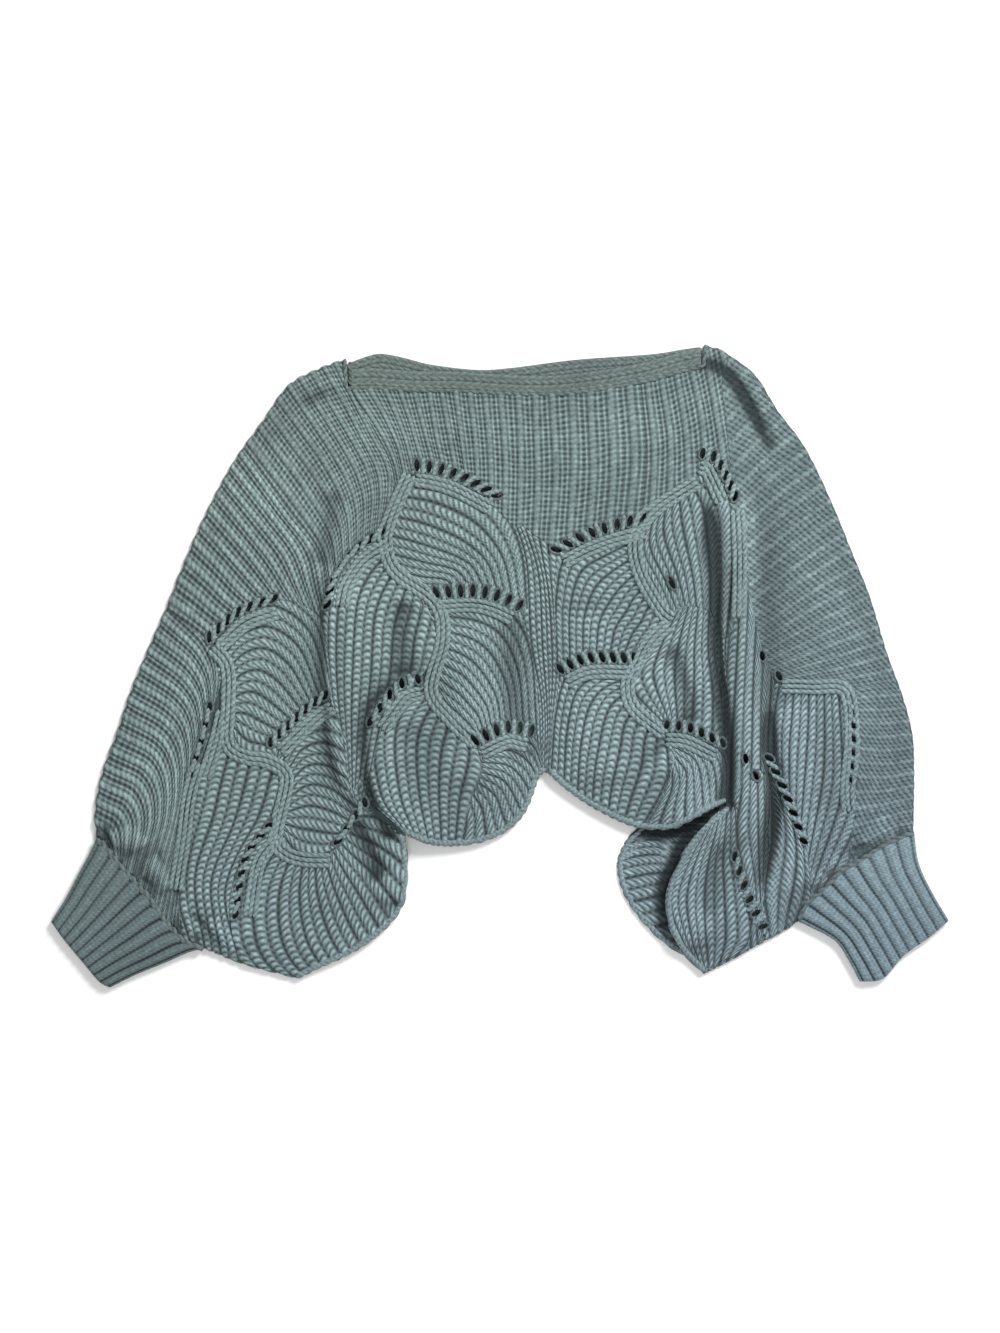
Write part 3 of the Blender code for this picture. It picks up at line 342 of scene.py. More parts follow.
PETALS_LEFT_FIELDS = (
    {"name": "petal_side_left", "ribs": 10, "runs": (
        ((386, 542), (356, 562), (340, 600), (338, 690), (352, 795)),
        ((400, 578), (385, 620), (380, 680), (366, 770)), ((440, 640), (430, 665), (420, 676)))},
    {"name": "petal_sleeve_left", "ribs": 12, "runs": (
        ((214, 645), (240, 616), (274, 606), (310, 632), (328, 690)),
        ((229, 692), (240, 676), (259, 670), (279, 682), (300, 708)), ((231, 724), (248, 740), (268, 745)))},
    {"name": "petal_low_left", "ribs": 12, "runs": (
        ((282, 764), (298, 732), (320, 716), (340, 718)),
        ((287, 800), (308, 785), (330, 788), (350, 802)), ((284, 836), (300, 853), (322, 855), (345, 842)))},
    {"name": "petal_cord_left", "ribs": 7, "runs": (
        ((212, 735), (196, 780), (184, 835), (178, 890), (190, 940)),
        ((245, 762), (230, 820), (208, 880), (216, 945)),
        ((280, 790), (268, 822), (243, 858), (232, 905), (248, 962)))},
    {"name": "side_lobe_left", "ribs": 17, "runs": (
        ((262, 836), (236, 872), (226, 916), (238, 958), (284, 992)),
        ((318, 860), (322, 892), (334, 930), (352, 962)), ((350, 824), (382, 832), (412, 846)))},
)
PETALS_MIDDLE_FIELDS = (
    {"name": "petal_yoke_left", "ribs": 13, "runs": (
        ((412, 476), (455, 482), (498, 507), (520, 548), (527, 606)),
        ((388, 540), (425, 550), (465, 565), (480, 588)), ((425, 597), (430, 597), (436, 599)))},
    {"name": "channel", "ribs": 5, "runs": (
        ((508, 505), (526, 560), (531, 640), (541, 700), (543, 768)),
        ((528, 530), (541, 580), (545, 650), (548, 720), (546, 768)),
        ((549, 560), (553, 610), (556, 668), (552, 720), (549, 768)))},
    {"name": "petal_middle_left", "ribs": 13, "runs": (
        ((436, 604), (482, 604), (514, 618), (531, 655), (536, 722)),
        ((440, 650), (470, 665), (492, 695), (498, 722)), ((452, 718), (462, 726), (472, 736)))},
    {"name": "hem_left_fan", "ribs": 12, "runs": (
        ((480, 745), (508, 735), (532, 745), (542, 768)), ((482, 772), (505, 782), (522, 812)),
        ((466, 808), (466, 826), (462, 844)))},
    {"name": "hem_left_down", "ribs": 9, "runs": (
        ((416, 687), (386, 704), (375, 740), (382, 795), (405, 830)),
        ((440, 700), (424, 740), (424, 790), (432, 842)), ((478, 748), (482, 772), (470, 805), (462, 843)))},
)
PETALS_RIGHT_FIELDS = (
    {"name": "petal_yoke_right", "ribs": 12, "runs": (
        ((642, 524), (600, 540), (566, 556), (556, 600), (557, 662)),
        ((640, 570), (618, 590), (600, 620), (596, 650)), ((664, 614), (655, 632), (642, 650)))},
    {"name": "petal_shoulder_right", "ribs": 10, "runs": (
        ((640, 530), (640, 560), (655, 588), (668, 616)), ((672, 498), (672, 530), (684, 575), (690, 606)),
        ((700, 474), (728, 500), (732, 560), (726, 628)))},
    {"name": "petal_middle_right", "ribs": 9, "runs": (
        ((668, 618), (640, 655), (630, 685), (664, 724)), ((690, 606), (680, 660), (680, 720)),
        ((714, 612), (714, 656), (722, 703), (724, 735)))},
    {"name": "hem_right_down", "ribs": 12, "runs": (
        ((628, 664), (596, 664), (568, 674), (556, 712), (551, 768)),
        ((630, 690), (608, 710), (596, 760), (592, 802)), ((666, 745), (666, 780), (642, 826)))},
    {"name": "hem_right_fan", "ribs": 9, "runs": (
        ((668, 734), (692, 738), (720, 752), (726, 776), (722, 800)),
        ((676, 750), (694, 766), (698, 810)), ((668, 778), (660, 800), (645, 826)))},
)
SLEEVE_RIGHT_FIELDS = (
    {"name": "sleeve_right_high", "ribs": 20, "knit": "lattice", "runs": (
        ((752, 352), (722, 384)), ((850, 520), (796, 556), (742, 600)),
        ((900, 676), (845, 684), (786, 684)))},
    {"name": "sleeve_right_low", "ribs": 11, "knit": "lattice", "runs": (
        ((899, 688), (870, 690), (850, 694)), ((914, 760), (884, 764), (856, 762)),
        ((913, 828), (890, 834), (862, 850)))},
)
SLEEVE_RIGHT_LOW_FIELDS = (
    {"name": "petal_cuff_right", "ribs": 9, "runs": (
        ((778, 688), (773, 720), (773, 755)), ((812, 690), (810, 750), (802, 830)),
        ((845, 694), (850, 760), (848, 810), (815, 890)))},
    {"name": "strip_right", "ribs": 4, "runs": (
        ((740, 510), (737, 620), (732, 720), (730, 800)), ((756, 600), (752, 680), (750, 750)),
        ((770, 684), (767, 740), (768, 772)))},
    {"name": "petal_underarm_right", "ribs": 3, "runs": (
        ((768, 770), (772, 826), (764, 885), (768, 925)), ((786, 810), (790, 850), (782, 915)),
        ((802, 846), (804, 885), (797, 918)))},
    {"name": "petal_lobe_right", "ribs": 4, "runs": (
        ((740, 790), (736, 840), (750, 900), (750, 945)), ((756, 780), (758, 850), (760, 905)),
        ((768, 778), (768, 850), (762, 895)))},
    {"name": "side_lobe_right", "ribs": 8, "runs": (
        ((704, 826), (682, 862), (669, 900), (682, 940), (700, 968)),
        ((718, 816), (706, 870), (704, 915), (708, 966)),
        ((734, 810), (737, 850), (746, 895), (750, 935), (736, 955)))},
)
BACK_FIELDS = ({"name": "inside_lobe", "ribs": 15, "runs": (
    ((672, 818), (655, 820), (638, 828)), ((690, 872), (655, 868), (620, 874)),
    ((722, 955), (712, 964), (702, 971)))},)

# Raised cords between the petals, on the chart
CORDS = (
    ((410, 474), (390, 520), (386, 545), (396, 572), (436, 603), (443, 640), (431, 690),
     (450, 718), (476, 744)),
    ((698, 482), (660, 506), (642, 524), (634, 545), (640, 575), (660, 610), (672, 620)),
    ((668, 624), (650, 642), (635, 667), (627, 684), (633, 708), (664, 734)),
    ((213, 647), (228, 666), (229, 703), (228, 743), (246, 757), (266, 760), (284, 770), (287, 785),
     (276, 836), (285, 852), (304, 859), (331, 860)),
    ((200, 762), (190, 795), (184, 840), (176, 890)),
    ((780, 686), (812, 687), (845, 691), (850, 740), (846, 790), (848, 812)),
    ((736, 510), (738, 560), (737, 619)),
)

# Folds: the run on the chart, the height in millimetres (a trough is below zero), how far the fold reaches
# to the left and to the right of its run, in millimetres, and whether it runs on over the hem
FOLDS = (
    (((333, 560), (334, 700), (345, 770), (362, 806)), 7.0, 34.0, 6.0, False),
    (((352, 815), (366, 845), (384, 884)), -3.0, 9.0, 12.0, False),
    (((392, 832), (400, 865), (392, 905)), 6.0, 16.0, 14.0, False),
    (((404, 595), (402, 640), (404, 682)), -3.5, 12.0, 12.0, False),
    (((424, 676), (386, 703), (375, 730), (376, 770), (386, 806), (403, 833)), 9.0, 30.0, 5.5, True),
    (((512, 600), (514, 700), (532, 775)), -3.0, 16.0, 16.0, False),
    (((455, 610), (470, 700), (470, 790)), 4.0, 26.0, 22.0, False),
    (((590, 600), (592, 700), (600, 790)), 4.5, 24.0, 30.0, False),
    (((668, 640), (684, 690), (690, 730)), -3.0, 9.0, 9.0, False),
    (((664, 740), (690, 770), (694, 812)), 6.0, 26.0, 26.0, True),
    (((712, 470), (735, 530), (736, 620), (740, 700), (744, 780), (742, 850)), 12.0, 19.0, 15.0, False),
    (((709, 490), (713, 616), (715, 660), (723, 710), (729, 760), (727, 802)), -9.0, 6.0, 7.0, True),
    (((769, 695), (768, 752), (773, 775), (770, 826), (764, 865), (757, 900)), -5.0, 9.0, 9.0, False),
    (((784, 690), (795, 770), (792, 850), (776, 900)), 6.0, 20.0, 20.0, False),
    (((732, 812), (702, 832), (688, 865), (684, 905), (700, 950)), 9.0, 16.0, 30.0, False),
    (((711, 371), (732, 379), (756, 418), (778, 456)), -2.5, 7.0, 7.0, False),
    (((716, 356), (744, 372), (775, 415), (800, 456)), 3.0, 12.0, 12.0, False),
    (((300, 404), (326, 392), (352, 383)), -2.5, 8.0, 8.0, False),
    (((332, 485), (328, 530), (316, 572)), -2.5, 11.0, 11.0, False),
    (((196, 760), (186, 830), (176, 900)), -3.0, 8.0, 8.0, False),
    (((112, 842), (132, 838), (142, 850)), 5.0, 8.0, 8.0, False),
    (((146, 858), (158, 872), (166, 892)), 5.5, 8.0, 8.0, False),
    (((176, 904), (190, 924), (200, 936)), 5.0, 8.0, 8.0, False),
    (((900, 826), (878, 834), (864, 848)), 4.0, 8.0, 8.0, False),
    (((842, 858), (824, 872), (808, 892)), 4.5, 8.0, 8.0, False),
    (((206, 922), (220, 934), (236, 950)), 4.0, 8.0, 8.0, False),
)
FOLD_TAPER = 0.18

# Sharp creases in the front's knit: the run on the chart, how far the stitches sink and the half width, in
# metres. The sinking also darkens the knit as painted shade; a ridge, below zero, lifts the stitches and
# lightens them as painted light
CREASES = (
    (((680, 366), (704, 364), (724, 372), (742, 394), (760, 428), (778, 466)), 0.0060, 0.0050),
    (((300, 402), (322, 394), (346, 388)), 0.0018, 0.0040),
    (((712, 540), (715, 620), (720, 670), (727, 715), (731, 760), (728, 800)), 0.0032, 0.0030),
    (((728, 560), (729, 610), (731, 650), (736, 700)), 0.0018, 0.0075),
    (((703, 560), (704, 620), (708, 670), (716, 715), (720, 750)), -0.0018, 0.0050),
    (((341, 600), (342, 700), (352, 770), (366, 806)), 0.0016, 0.0040),
    (((381, 706), (378, 735), (380, 772), (389, 806)), 0.0018, 0.0036),
    (((768, 720), (769, 752), (774, 790), (776, 830), (772, 872), (764, 905)), 0.0026, 0.0072),
    (((672, 640), (686, 690), (694, 728)), 0.0010, 0.0050),
    (((404, 600), (402, 640), (406, 676)), 0.0012, 0.0050),
    (((196, 765), (187, 830), (178, 895)), 0.0014, 0.0044),
    (((514, 620), (514, 700), (530, 765)), 0.0008, 0.0070),
    (((348, 792), (357, 824), (374, 852), (394, 878)), 0.0020, 0.0050),
    (((180, 846), (179, 876), (177, 902), (176, 912)), 0.0036, 0.0019),
    (((158, 850), (162, 859), (168, 868)), 0.0030, 0.0018),
    (((190, 910), (204, 924), (218, 940), (228, 952)), 0.0034, 0.0030),
    (((106, 822), (109, 842), (130, 858)), 0.0020, 0.0024),
    (((142, 876), (152, 884), (160, 884)), 0.0018, 0.0020),
    (((848, 848), (862, 846), (878, 840)), 0.0018, 0.0022),
    (((812, 872), (824, 862), (838, 856)), 0.0016, 0.0022),
)

# The cuffs: the sleeve's seam, the two side edges from seam to end, and the end edge, on the chart
CUFFS = (
    {"name": "cuff_left", "seam": SEAM_LEFT[::-1],
     "first": ((98, 838), (92, 851), (80, 873), (68, 896), (52, 921)),
     "last": ((205, 948), (191, 951), (166, 962), (137, 974), (111, 987)),
     "end": ((52, 921), (64, 938), (83, 961), (100, 981), (111, 987))},
    {"name": "cuff_right", "seam": SEAM_RIGHT, "first": ((913, 832), (918, 863), (932, 893), (948, 920)),
     "last": ((798, 921), (807, 925), (834, 940), (848, 960), (859, 981)),
     "end": ((948, 920), (928, 937), (903, 955), (882, 978), (859, 981))},
)

# The neck band: the upper edge of its front and back run on the chart, left to right
BAND_FRONT = ((352, 369.5), (372, 368.5), (416, 371.5), (456, 372), (496, 374.5), (528, 376), (559, 375.5),
              (591, 372), (623, 367), (650, 361.5), (676, 354), (697, 349))
BAND_BACK = ((352, 362), (369, 356), (382, 354), (404, 358), (432, 365), (477, 370), (512, 368), (575, 360),
             (650, 354.5), (680, 350), (697, 347.5))
CORNER_LEFT = (345, 360)
CORNER_RIGHT = (705, 346)
NECK_LEFT = 346
NECK_RIGHT = 703


def plan(points):
    """Chart points as plan points in metres, y up."""
    chart = np.asarray(points, dtype=float)
    return np.column_stack(((chart[:, 0] - CHART_CENTRE[0]) * SQUARE,
                            (CHART_CENTRE[1] - chart[:, 1]) * SQUARE))


def smooth(points, count=12):
    """A Catmull-Rom curve through the points, with count steps between each two."""
    if len(points) == 2:
        return points
    ends = np.vstack((2 * points[0] - points[1], points, 2 * points[-1] - points[-2]))
    t = np.linspace(0.0, 1.0, count, endpoint=False)[:, None]
    spans = []
    for i in range(len(points) - 1):
        a, b, c, d = ends[i:i + 4]
        spans.append(0.5 * (2 * b + (c - a) * t + (2 * a - 5 * b + 4 * c - d) * t ** 2
                            + (3 * b - a - 3 * c + d) * t ** 3))
    return np.vstack(spans + [points[-1:]])


def lengths_along(points):
    """The length of a line of points up to each of them."""
    return np.concatenate(([0.0], np.cumsum(np.linalg.norm(np.diff(points, axis=0), axis=1))))


def resample(points, count):
    """The same line with count + 1 points at even distances."""
    length = lengths_along(points)
    stations = np.linspace(0.0, length[-1], count + 1)
    return np.column_stack([np.interp(stations, length, points[:, axis]) for axis in range(points.shape[1])])


def at_share(line, share):
    """The points at shares, from 0 to 1, of a line whose own points are evenly spaced."""
    grid = np.linspace(0, 1, len(line))
    return np.stack([np.interp(share, grid, line[:, k]) for k in (0, 1)], -1)


def edge(points, step=0.005):
    """A chart stretch as evenly spaced plan points."""
    curve = smooth(plan(points))
    return resample(curve, max(1, round(lengths_along(curve)[-1] / step)))


def ease(value):
    """A smooth step from 0 to 1."""
    t = np.clip(value, 0.0, 1.0)
    return t * t * (3 - 2 * t)


def quarter_round(value):
    """The height of a quarter circle, from 0 at 0 to 1 at 1, where it is level."""
    return np.sqrt(1 - (1 - np.clip(value, 0, 1)) ** 2)


def bell(distance, reach):
    """A bell curve: 1 at no distance, and 1 / e at its reach."""
    return np.exp(-(distance / reach) ** 2)


def turned_by(angle):
    """The matrix that turns a plan way by an angle, or back where it follows the points."""
    return np.array(((math.cos(angle), -math.sin(angle)), (math.sin(angle), math.cos(angle))))


def carry_on(near, far, x):
    """The point at x on the straight line from far through near."""
    return x, near[1] + (near[1] - far[1]) * (x - near[0]) / (near[0] - far[0])


def neck_edge(band):
    """The panel's edge round a run of the neck band: the left corner, the neckline and the right corner."""
    rows = [(x, y + BAND_DEPTH + BAND_SEAM) for x, y in band]
    rows = [carry_on(rows[0], rows[1], NECK_LEFT), *rows, carry_on(rows[-1], rows[-2], NECK_RIGHT)]
    return (CORNER_LEFT, rows[0]), tuple(rows), (rows[-1], CORNER_RIGHT)


def beside(points, run):
    """The signed distance of points to a run, positive on its left, and how far along it they are."""
    best = np.full(len(points), np.inf)
    side = np.zeros(len(points))
    along = np.zeros(len(points))
    steps = np.linalg.norm(np.diff(run, axis=0), axis=1)
    total = steps.sum()
    before = 0.0
    for start, stop, length in zip(run[:-1], run[1:], steps):
        if length == 0:
            continue
        way = (stop - start) / length
        offset = points - start
        reach = np.clip(offset @ way, 0.0, length)
        gap = offset - reach[:, None] * way
        distance = gap[:, 0] ** 2 + gap[:, 1] ** 2
        closer = distance < best
        best = np.where(closer, distance, best)
        side = np.where(closer, way[0] * offset[:, 1] - way[1] * offset[:, 0], side)
        along = np.where(closer, (before + reach) / total, along)
        before += length
    best = np.sqrt(best)
    return np.where(side >= 0, best, -best), along


# Maps over the plan: each is worked out once on a square grid of points and read between them
MAP_X = np.arange(-0.412, 0.4121, MAP_STEP)
MAP_Y = np.arange(-0.300, 0.3001, MAP_STEP)
MAP_POINTS = np.stack(np.meshgrid(MAP_X, MAP_Y), axis=-1).reshape(-1, 2)


def map_of(values):
    """Values at the grid's points as a map."""
    return values.reshape(len(MAP_Y), len(MAP_X))


def read(chart, points):
    """A map's value at any plan points, linear between the grid's points both ways."""
    column = np.clip((points[:, 0] - MAP_X[0]) / MAP_STEP, 0, len(MAP_X) - 1.001)
    row = np.clip((points[:, 1] - MAP_Y[0]) / MAP_STEP, 0, len(MAP_Y) - 1.001)
    i, j = column.astype(int), row.astype(int)
    u, v = column - i, row - j
    return ((1 - v) * ((1 - u) * chart[j, i] + u * chart[j, i + 1])
            + v * ((1 - u) * chart[j + 1, i] + u * chart[j + 1, i + 1]))


def inside(points, loop):
    """Whether each point is inside a closed loop, by counting crossings to its right."""
    odd = np.zeros(len(points), dtype=bool)
    for (x0, y0), (x1, y1) in zip(loop, np.roll(loop, -1, axis=0)):
        if y0 == y1:
            continue
        spans = (points[:, 1] > min(y0, y1)) & (points[:, 1] <= max(y0, y1))
        odd ^= spans & (points[:, 0] < x0 + (points[:, 1] - y0) * (x1 - x0) / (y1 - y0))
    return odd


def depth_inside(stretches):
    """A map of the distance to a panel's edge, positive inside the panel."""
    loop = np.vstack([edge(stretch)[:-1] for stretch in stretches])
    distance = np.abs(beside(MAP_POINTS, np.vstack((loop, loop[:1])))[0])
    return map_of(np.where(inside(MAP_POINTS, loop), distance, -distance))


def lift_of_folds(points, to_join):
    """How far the folds lift the front's inner face above the back: a soft pillow and each fold's bell curve,
    never below zero, which fade out at the edges where the panels are joined."""
    height = PILLOW * ease(to_join / PILLOW_REACH)
    for run, rise, left, right, open_end in FOLDS:
        distance, along = beside(points, smooth(plan(run), 6))
        reach = np.where(distance >= 0, left, right) * 0.001
        taper = ease(along / FOLD_TAPER) * (1.0 if open_end else ease((1.0 - along) / FOLD_TAPER))
        height = height + rise * 0.001 * bell(distance, reach) * taper
    settled = 0.5 * (height + np.sqrt(height ** 2 + SETTLE ** 2) - SETTLE)
    return np.maximum(settled, 0.0) * ease(to_join / JOINED_RIM)


FRONT_EDGE = (SLEEVE_LEFT, *neck_edge(BAND_FRONT), SLEEVE_RIGHT, SEAM_RIGHT, UNDERARM_RIGHT, SIDE_LOBE_RIGHT,
              HEM_RIGHT, HEM_CENTRE, SIDE_LOBE_LEFT, UNDERARM_LEFT, SEAM_LEFT)
BACK_EDGE = (SLEEVE_LEFT, *neck_edge(BAND_BACK), SLEEVE_RIGHT, SEAM_RIGHT, UNDERARM_RIGHT, HEM_BACK,
             UNDERARM_LEFT, SEAM_LEFT)
JOINED_STEP = 0.008
JOINED = [edge(stretch, JOINED_STEP) for stretch in (
    SLEEVE_LEFT, SLEEVE_RIGHT, SEAM_LEFT, SEAM_RIGHT, *neck_edge(BAND_FRONT), UNDERARM_LEFT, UNDERARM_RIGHT)]
NECKLINE = edge(neck_edge(BAND_FRONT)[1], JOINED_STEP)
TO_JOIN = map_of(np.min([np.abs(beside(MAP_POINTS, run)[0]) for run in JOINED], axis=0))
BY_NECK = map_of(1 - ease(np.abs(beside(MAP_POINTS, NECKLINE)[0]) / EDGE_ZONE))
LIFT = map_of(lift_of_folds(MAP_POINTS, TO_JOIN.ravel()))
SLOPE = np.hypot(*np.gradient(LIFT, MAP_STEP))
STEEPEST = 1.5
STEEP = np.minimum(np.sqrt(1 + SLOPE ** 2), STEEPEST)


def blurred(chart, reach):
    """A map averaged over a square of the given half width, by sums along both ways."""
    for axis in (0, 1):
        padded = np.pad(chart, [(reach + 1, reach) if k == axis else (0, 0) for k in (0, 1)], mode="edge")
        total = np.cumsum(padded, axis=axis)
        size = 2 * reach + 1
        upper = total[size:] if axis == 0 else total[:, size:]
        lower = total[:-size] if axis == 0 else total[:, :-size]
        chart = (upper - lower) / size
    return chart


def below_surroundings(reach, full):
    """How far the front lies below what surrounds it within a reach of grid steps, as a share of full."""
    return (blurred(blurred(LIFT, reach), reach) - LIFT) / full


# How far the front lies below its surroundings: a share that darkens the knit as painted shade in hollows
# and, below zero, lightens it as painted light on ridges
HOLLOW = np.clip(below_surroundings(4, 0.0028) + below_surroundings(10, 0.0090), -0.2, 1.0)


def crease_depth(points):
    """How far the stitches sink into the creases: a bell curve across each, softer at its two ends. A ridge
    has a value below zero."""
    troughs, ridges = np.zeros(len(points)), np.zeros(len(points))
    for run, sunk, reach in CREASES:
        distance, along = beside(points, smooth(plan(run), 6))
        ends = (0.25 + 0.75 * ease(along / 0.12)) * (0.03 + 0.97 * ease((1 - along) / 0.55))
        depth = sunk * ends * bell(distance, reach)
        troughs, ridges = np.maximum(troughs, depth), np.minimum(ridges, depth)
    return troughs + ridges


def gathers(points):
    """Soft pleats where the sleeves are gathered into their cuffs: a slightly uneven wave along each seam,
    from -1 to 1, that leans and fades away from it."""
    wave = np.zeros(len(points))
    for seam, pleats in ((SEAM_LEFT, 5.5), (SEAM_RIGHT, 4.5)):
        distance, along = beside(points, edge(seam, 0.004))
        turn = along * pleats + 0.3 * np.sin(9 * along) + distance * 14
        wave += np.cos(2 * np.pi * turn) * bell(distance, 0.015)
    return wave


CREASE = map_of(crease_depth(MAP_POINTS))
GATHER = map_of(gathers(MAP_POINTS))
FRONT_DEPTH = depth_inside(FRONT_EDGE)
BACK_DEPTH = depth_inside(BACK_EDGE)


def eyelet_list(arcs, mirrored=False):
    """Each eyelet's centre, way and half length; mirrored turns the chart left to right."""
    rows = []
    for arc in arcs:
        run = smooth(plan(arc["arc"]))
        centres = resample(run, arc["count"] - 1) if arc["count"] > 1 else run[:1]
        tilts = np.radians(np.linspace(*arc["tilt"], len(centres)))
        if mirrored:
            centres = centres * (-1, 1)
            tilts = math.pi - tilts
        rows.extend((centre, tilt, arc["long"] * 0.0005) for centre, tilt in zip(centres, tilts))
    return rows


FRONT_EYELETS = eyelet_list(EYELET_ARCS)
BACK_EYELETS = eyelet_list([arc for arc in EYELET_ARCS if arc["name"] in BACK_ARCS], mirrored=True)


def cut_to_edge(points, cells, depth, reach):
    """Leaves out the cells past the panel's edge and moves the points just past it onto it.

    reach says how far each point may stand outside the edge."""
    past = read(depth, points) + reach
    out = past < 0
    cells = cells[~out[cells].all(axis=1)]
    slope_y, slope_x = np.gradient(depth, MAP_STEP)
    slope = np.column_stack((read(slope_x, points), read(slope_y, points)))
    slope /= np.maximum(np.linalg.norm(slope, axis=1), 0.2)[:, None]
    moved = np.where(out[:, None], points - past[:, None] * slope, points)
    return moved, cells


def cut_eyelets(points, cells, eyelets, grow):
    """Leaves out the cells whose middle is inside an eyelet's oval, or else the one nearest to it, and moves
    their corners, and any other point inside, onto the oval's edge."""
    moved = points.copy()
    middles = points[cells].mean(axis=1)
    drop = np.zeros(len(cells), bool)
    for centre, tilt, half in eyelets:
        turn = turned_by(tilt)
        size = np.array((half, EYELET_WIDTH / 2)) * grow
        from_middle = np.hypot(*(((middles - centre) @ turn) / size).T)
        hole = from_middle < np.clip(from_middle.min() + 1e-6, 1.0, 1.3)
        drop |= hole
        local = ((points - centre) @ turn) / size
        reach = np.hypot(*local.T)
        touched = reach < 1
        touched[cells[hole]] = True
        moved[touched] = centre + (local[touched] / np.maximum(reach[touched], 0.05)[:, None] * size) @ turn.T
    return moved, cells[~drop]


def grid_cells(rows, columns, start=0):
    """The four-cornered cells of a grid of points, row by row."""
    index = start + np.arange(rows * columns).reshape(rows, columns)
    return np.stack((index[:-1, :-1], index[:-1, 1:], index[1:, 1:], index[1:, :-1]), axis=-1).reshape(-1, 4)


def tube_cells(rings, around, closed):
    """The four-cornered cells between rings of points; closed joins the last ring to the first."""
    index = np.arange(rings * around).reshape(rings, around)
    after = np.roll(index, -1, axis=1)
    if closed:
        corners = (index, after, np.roll(after, -1, axis=0), np.roll(index, -1, axis=0))
    else:
        corners = (index[:-1], after[:-1], after[1:], index[1:])
    return np.stack(corners, axis=-1).reshape(-1, 4)


UPWARDS = np.array((0.0, 0.0, 1.0))


def faced(points, cells, sample, way):
    """The cells, turned over where the sample cell looks against the given way."""
    quad = points[cells[sample]]
    normal = np.cross(quad[1] - quad[0], quad[2] - quad[0])
    return cells[:, ::-1] if normal @ way < 0 else cells


def add_knit(name, points, cells, depth, uv, material, slot):
    """One mesh piece from arrays of points and cells, with how deep each point lies in the knit (0 to 1),
    which the yarn's material turns into painted shade.
    """
    used, cells = np.unique(cells, return_inverse=True)
    cells = cells.reshape(-1, 4).astype(np.int32)
    points, depth, uv = points[used], depth[used], uv[used]
    mesh = bpy.data.meshes.new(name)
    mesh.vertices.add(len(points))
    mesh.vertices.foreach_set("co", points.astype(np.float32).ravel())
    mesh.loops.add(cells.size)
    mesh.loops.foreach_set("vertex_index", cells.ravel())
    mesh.polygons.add(len(cells))
    mesh.polygons.foreach_set("loop_start", np.arange(0, cells.size, 4, dtype=np.int32))
    mesh.update(calc_edges=True)
    # The depth attribute carries the painted shade
    mesh.attributes.new("depth", "FLOAT", "POINT").data.foreach_set("value", depth.astype(np.float32))
    mesh.uv_layers.new(name="yarn").data.foreach_set("uv", uv[cells.ravel()].astype(np.float32).ravel())
    mesh.validate()
    mesh.shade_smooth()
    mesh.materials.append(material)
    piece = bpy.data.objects.new(name, mesh)
    bpy.context.collection.objects.link(piece)
    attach(piece, "root")
    return piece


def facing_up(points, cells):
    """The cells turned so that they run anticlockwise seen from above."""
    a, c = points[cells[:, 0]], points[cells[:, 2]]
    b, d = points[cells[:, 1]], points[cells[:, 3]]
    area = (c[:, 0] - a[:, 0]) * (d[:, 1] - b[:, 1]) - (c[:, 1] - a[:, 1]) * (d[:, 0] - b[:, 0])
    return cells[:, ::-1] if area.sum() < 0 else cells


# Materials


def add_node(tree, kind, inputs, **settings):
    """A shader node. Each input is given by its name or number, as a value or as another node's output."""
    node = tree.nodes.new("ShaderNode" + kind)
    for name, setting in settings.items():
        setattr(node, name, setting)
    for name, value in inputs.items():
        if isinstance(value, bpy.types.NodeSocket):
            tree.links.new(value, node.inputs[name])
        else:
            node.inputs[name].default_value = value
    return node


def cloudy(tree, place, scale, detail, least, most):
    """A factor between least and most that follows a noise on Object coordinates."""
    noise = add_node(tree, "TexNoise", {"Vector": place, "Scale": scale, "Detail": detail})
    return add_node(tree, "MapRange", {"Value": noise.outputs["Fac"], "From Min": 0.3, "From Max": 0.7,
                                       "To Min": least, "To Max": most}).outputs["Result"]


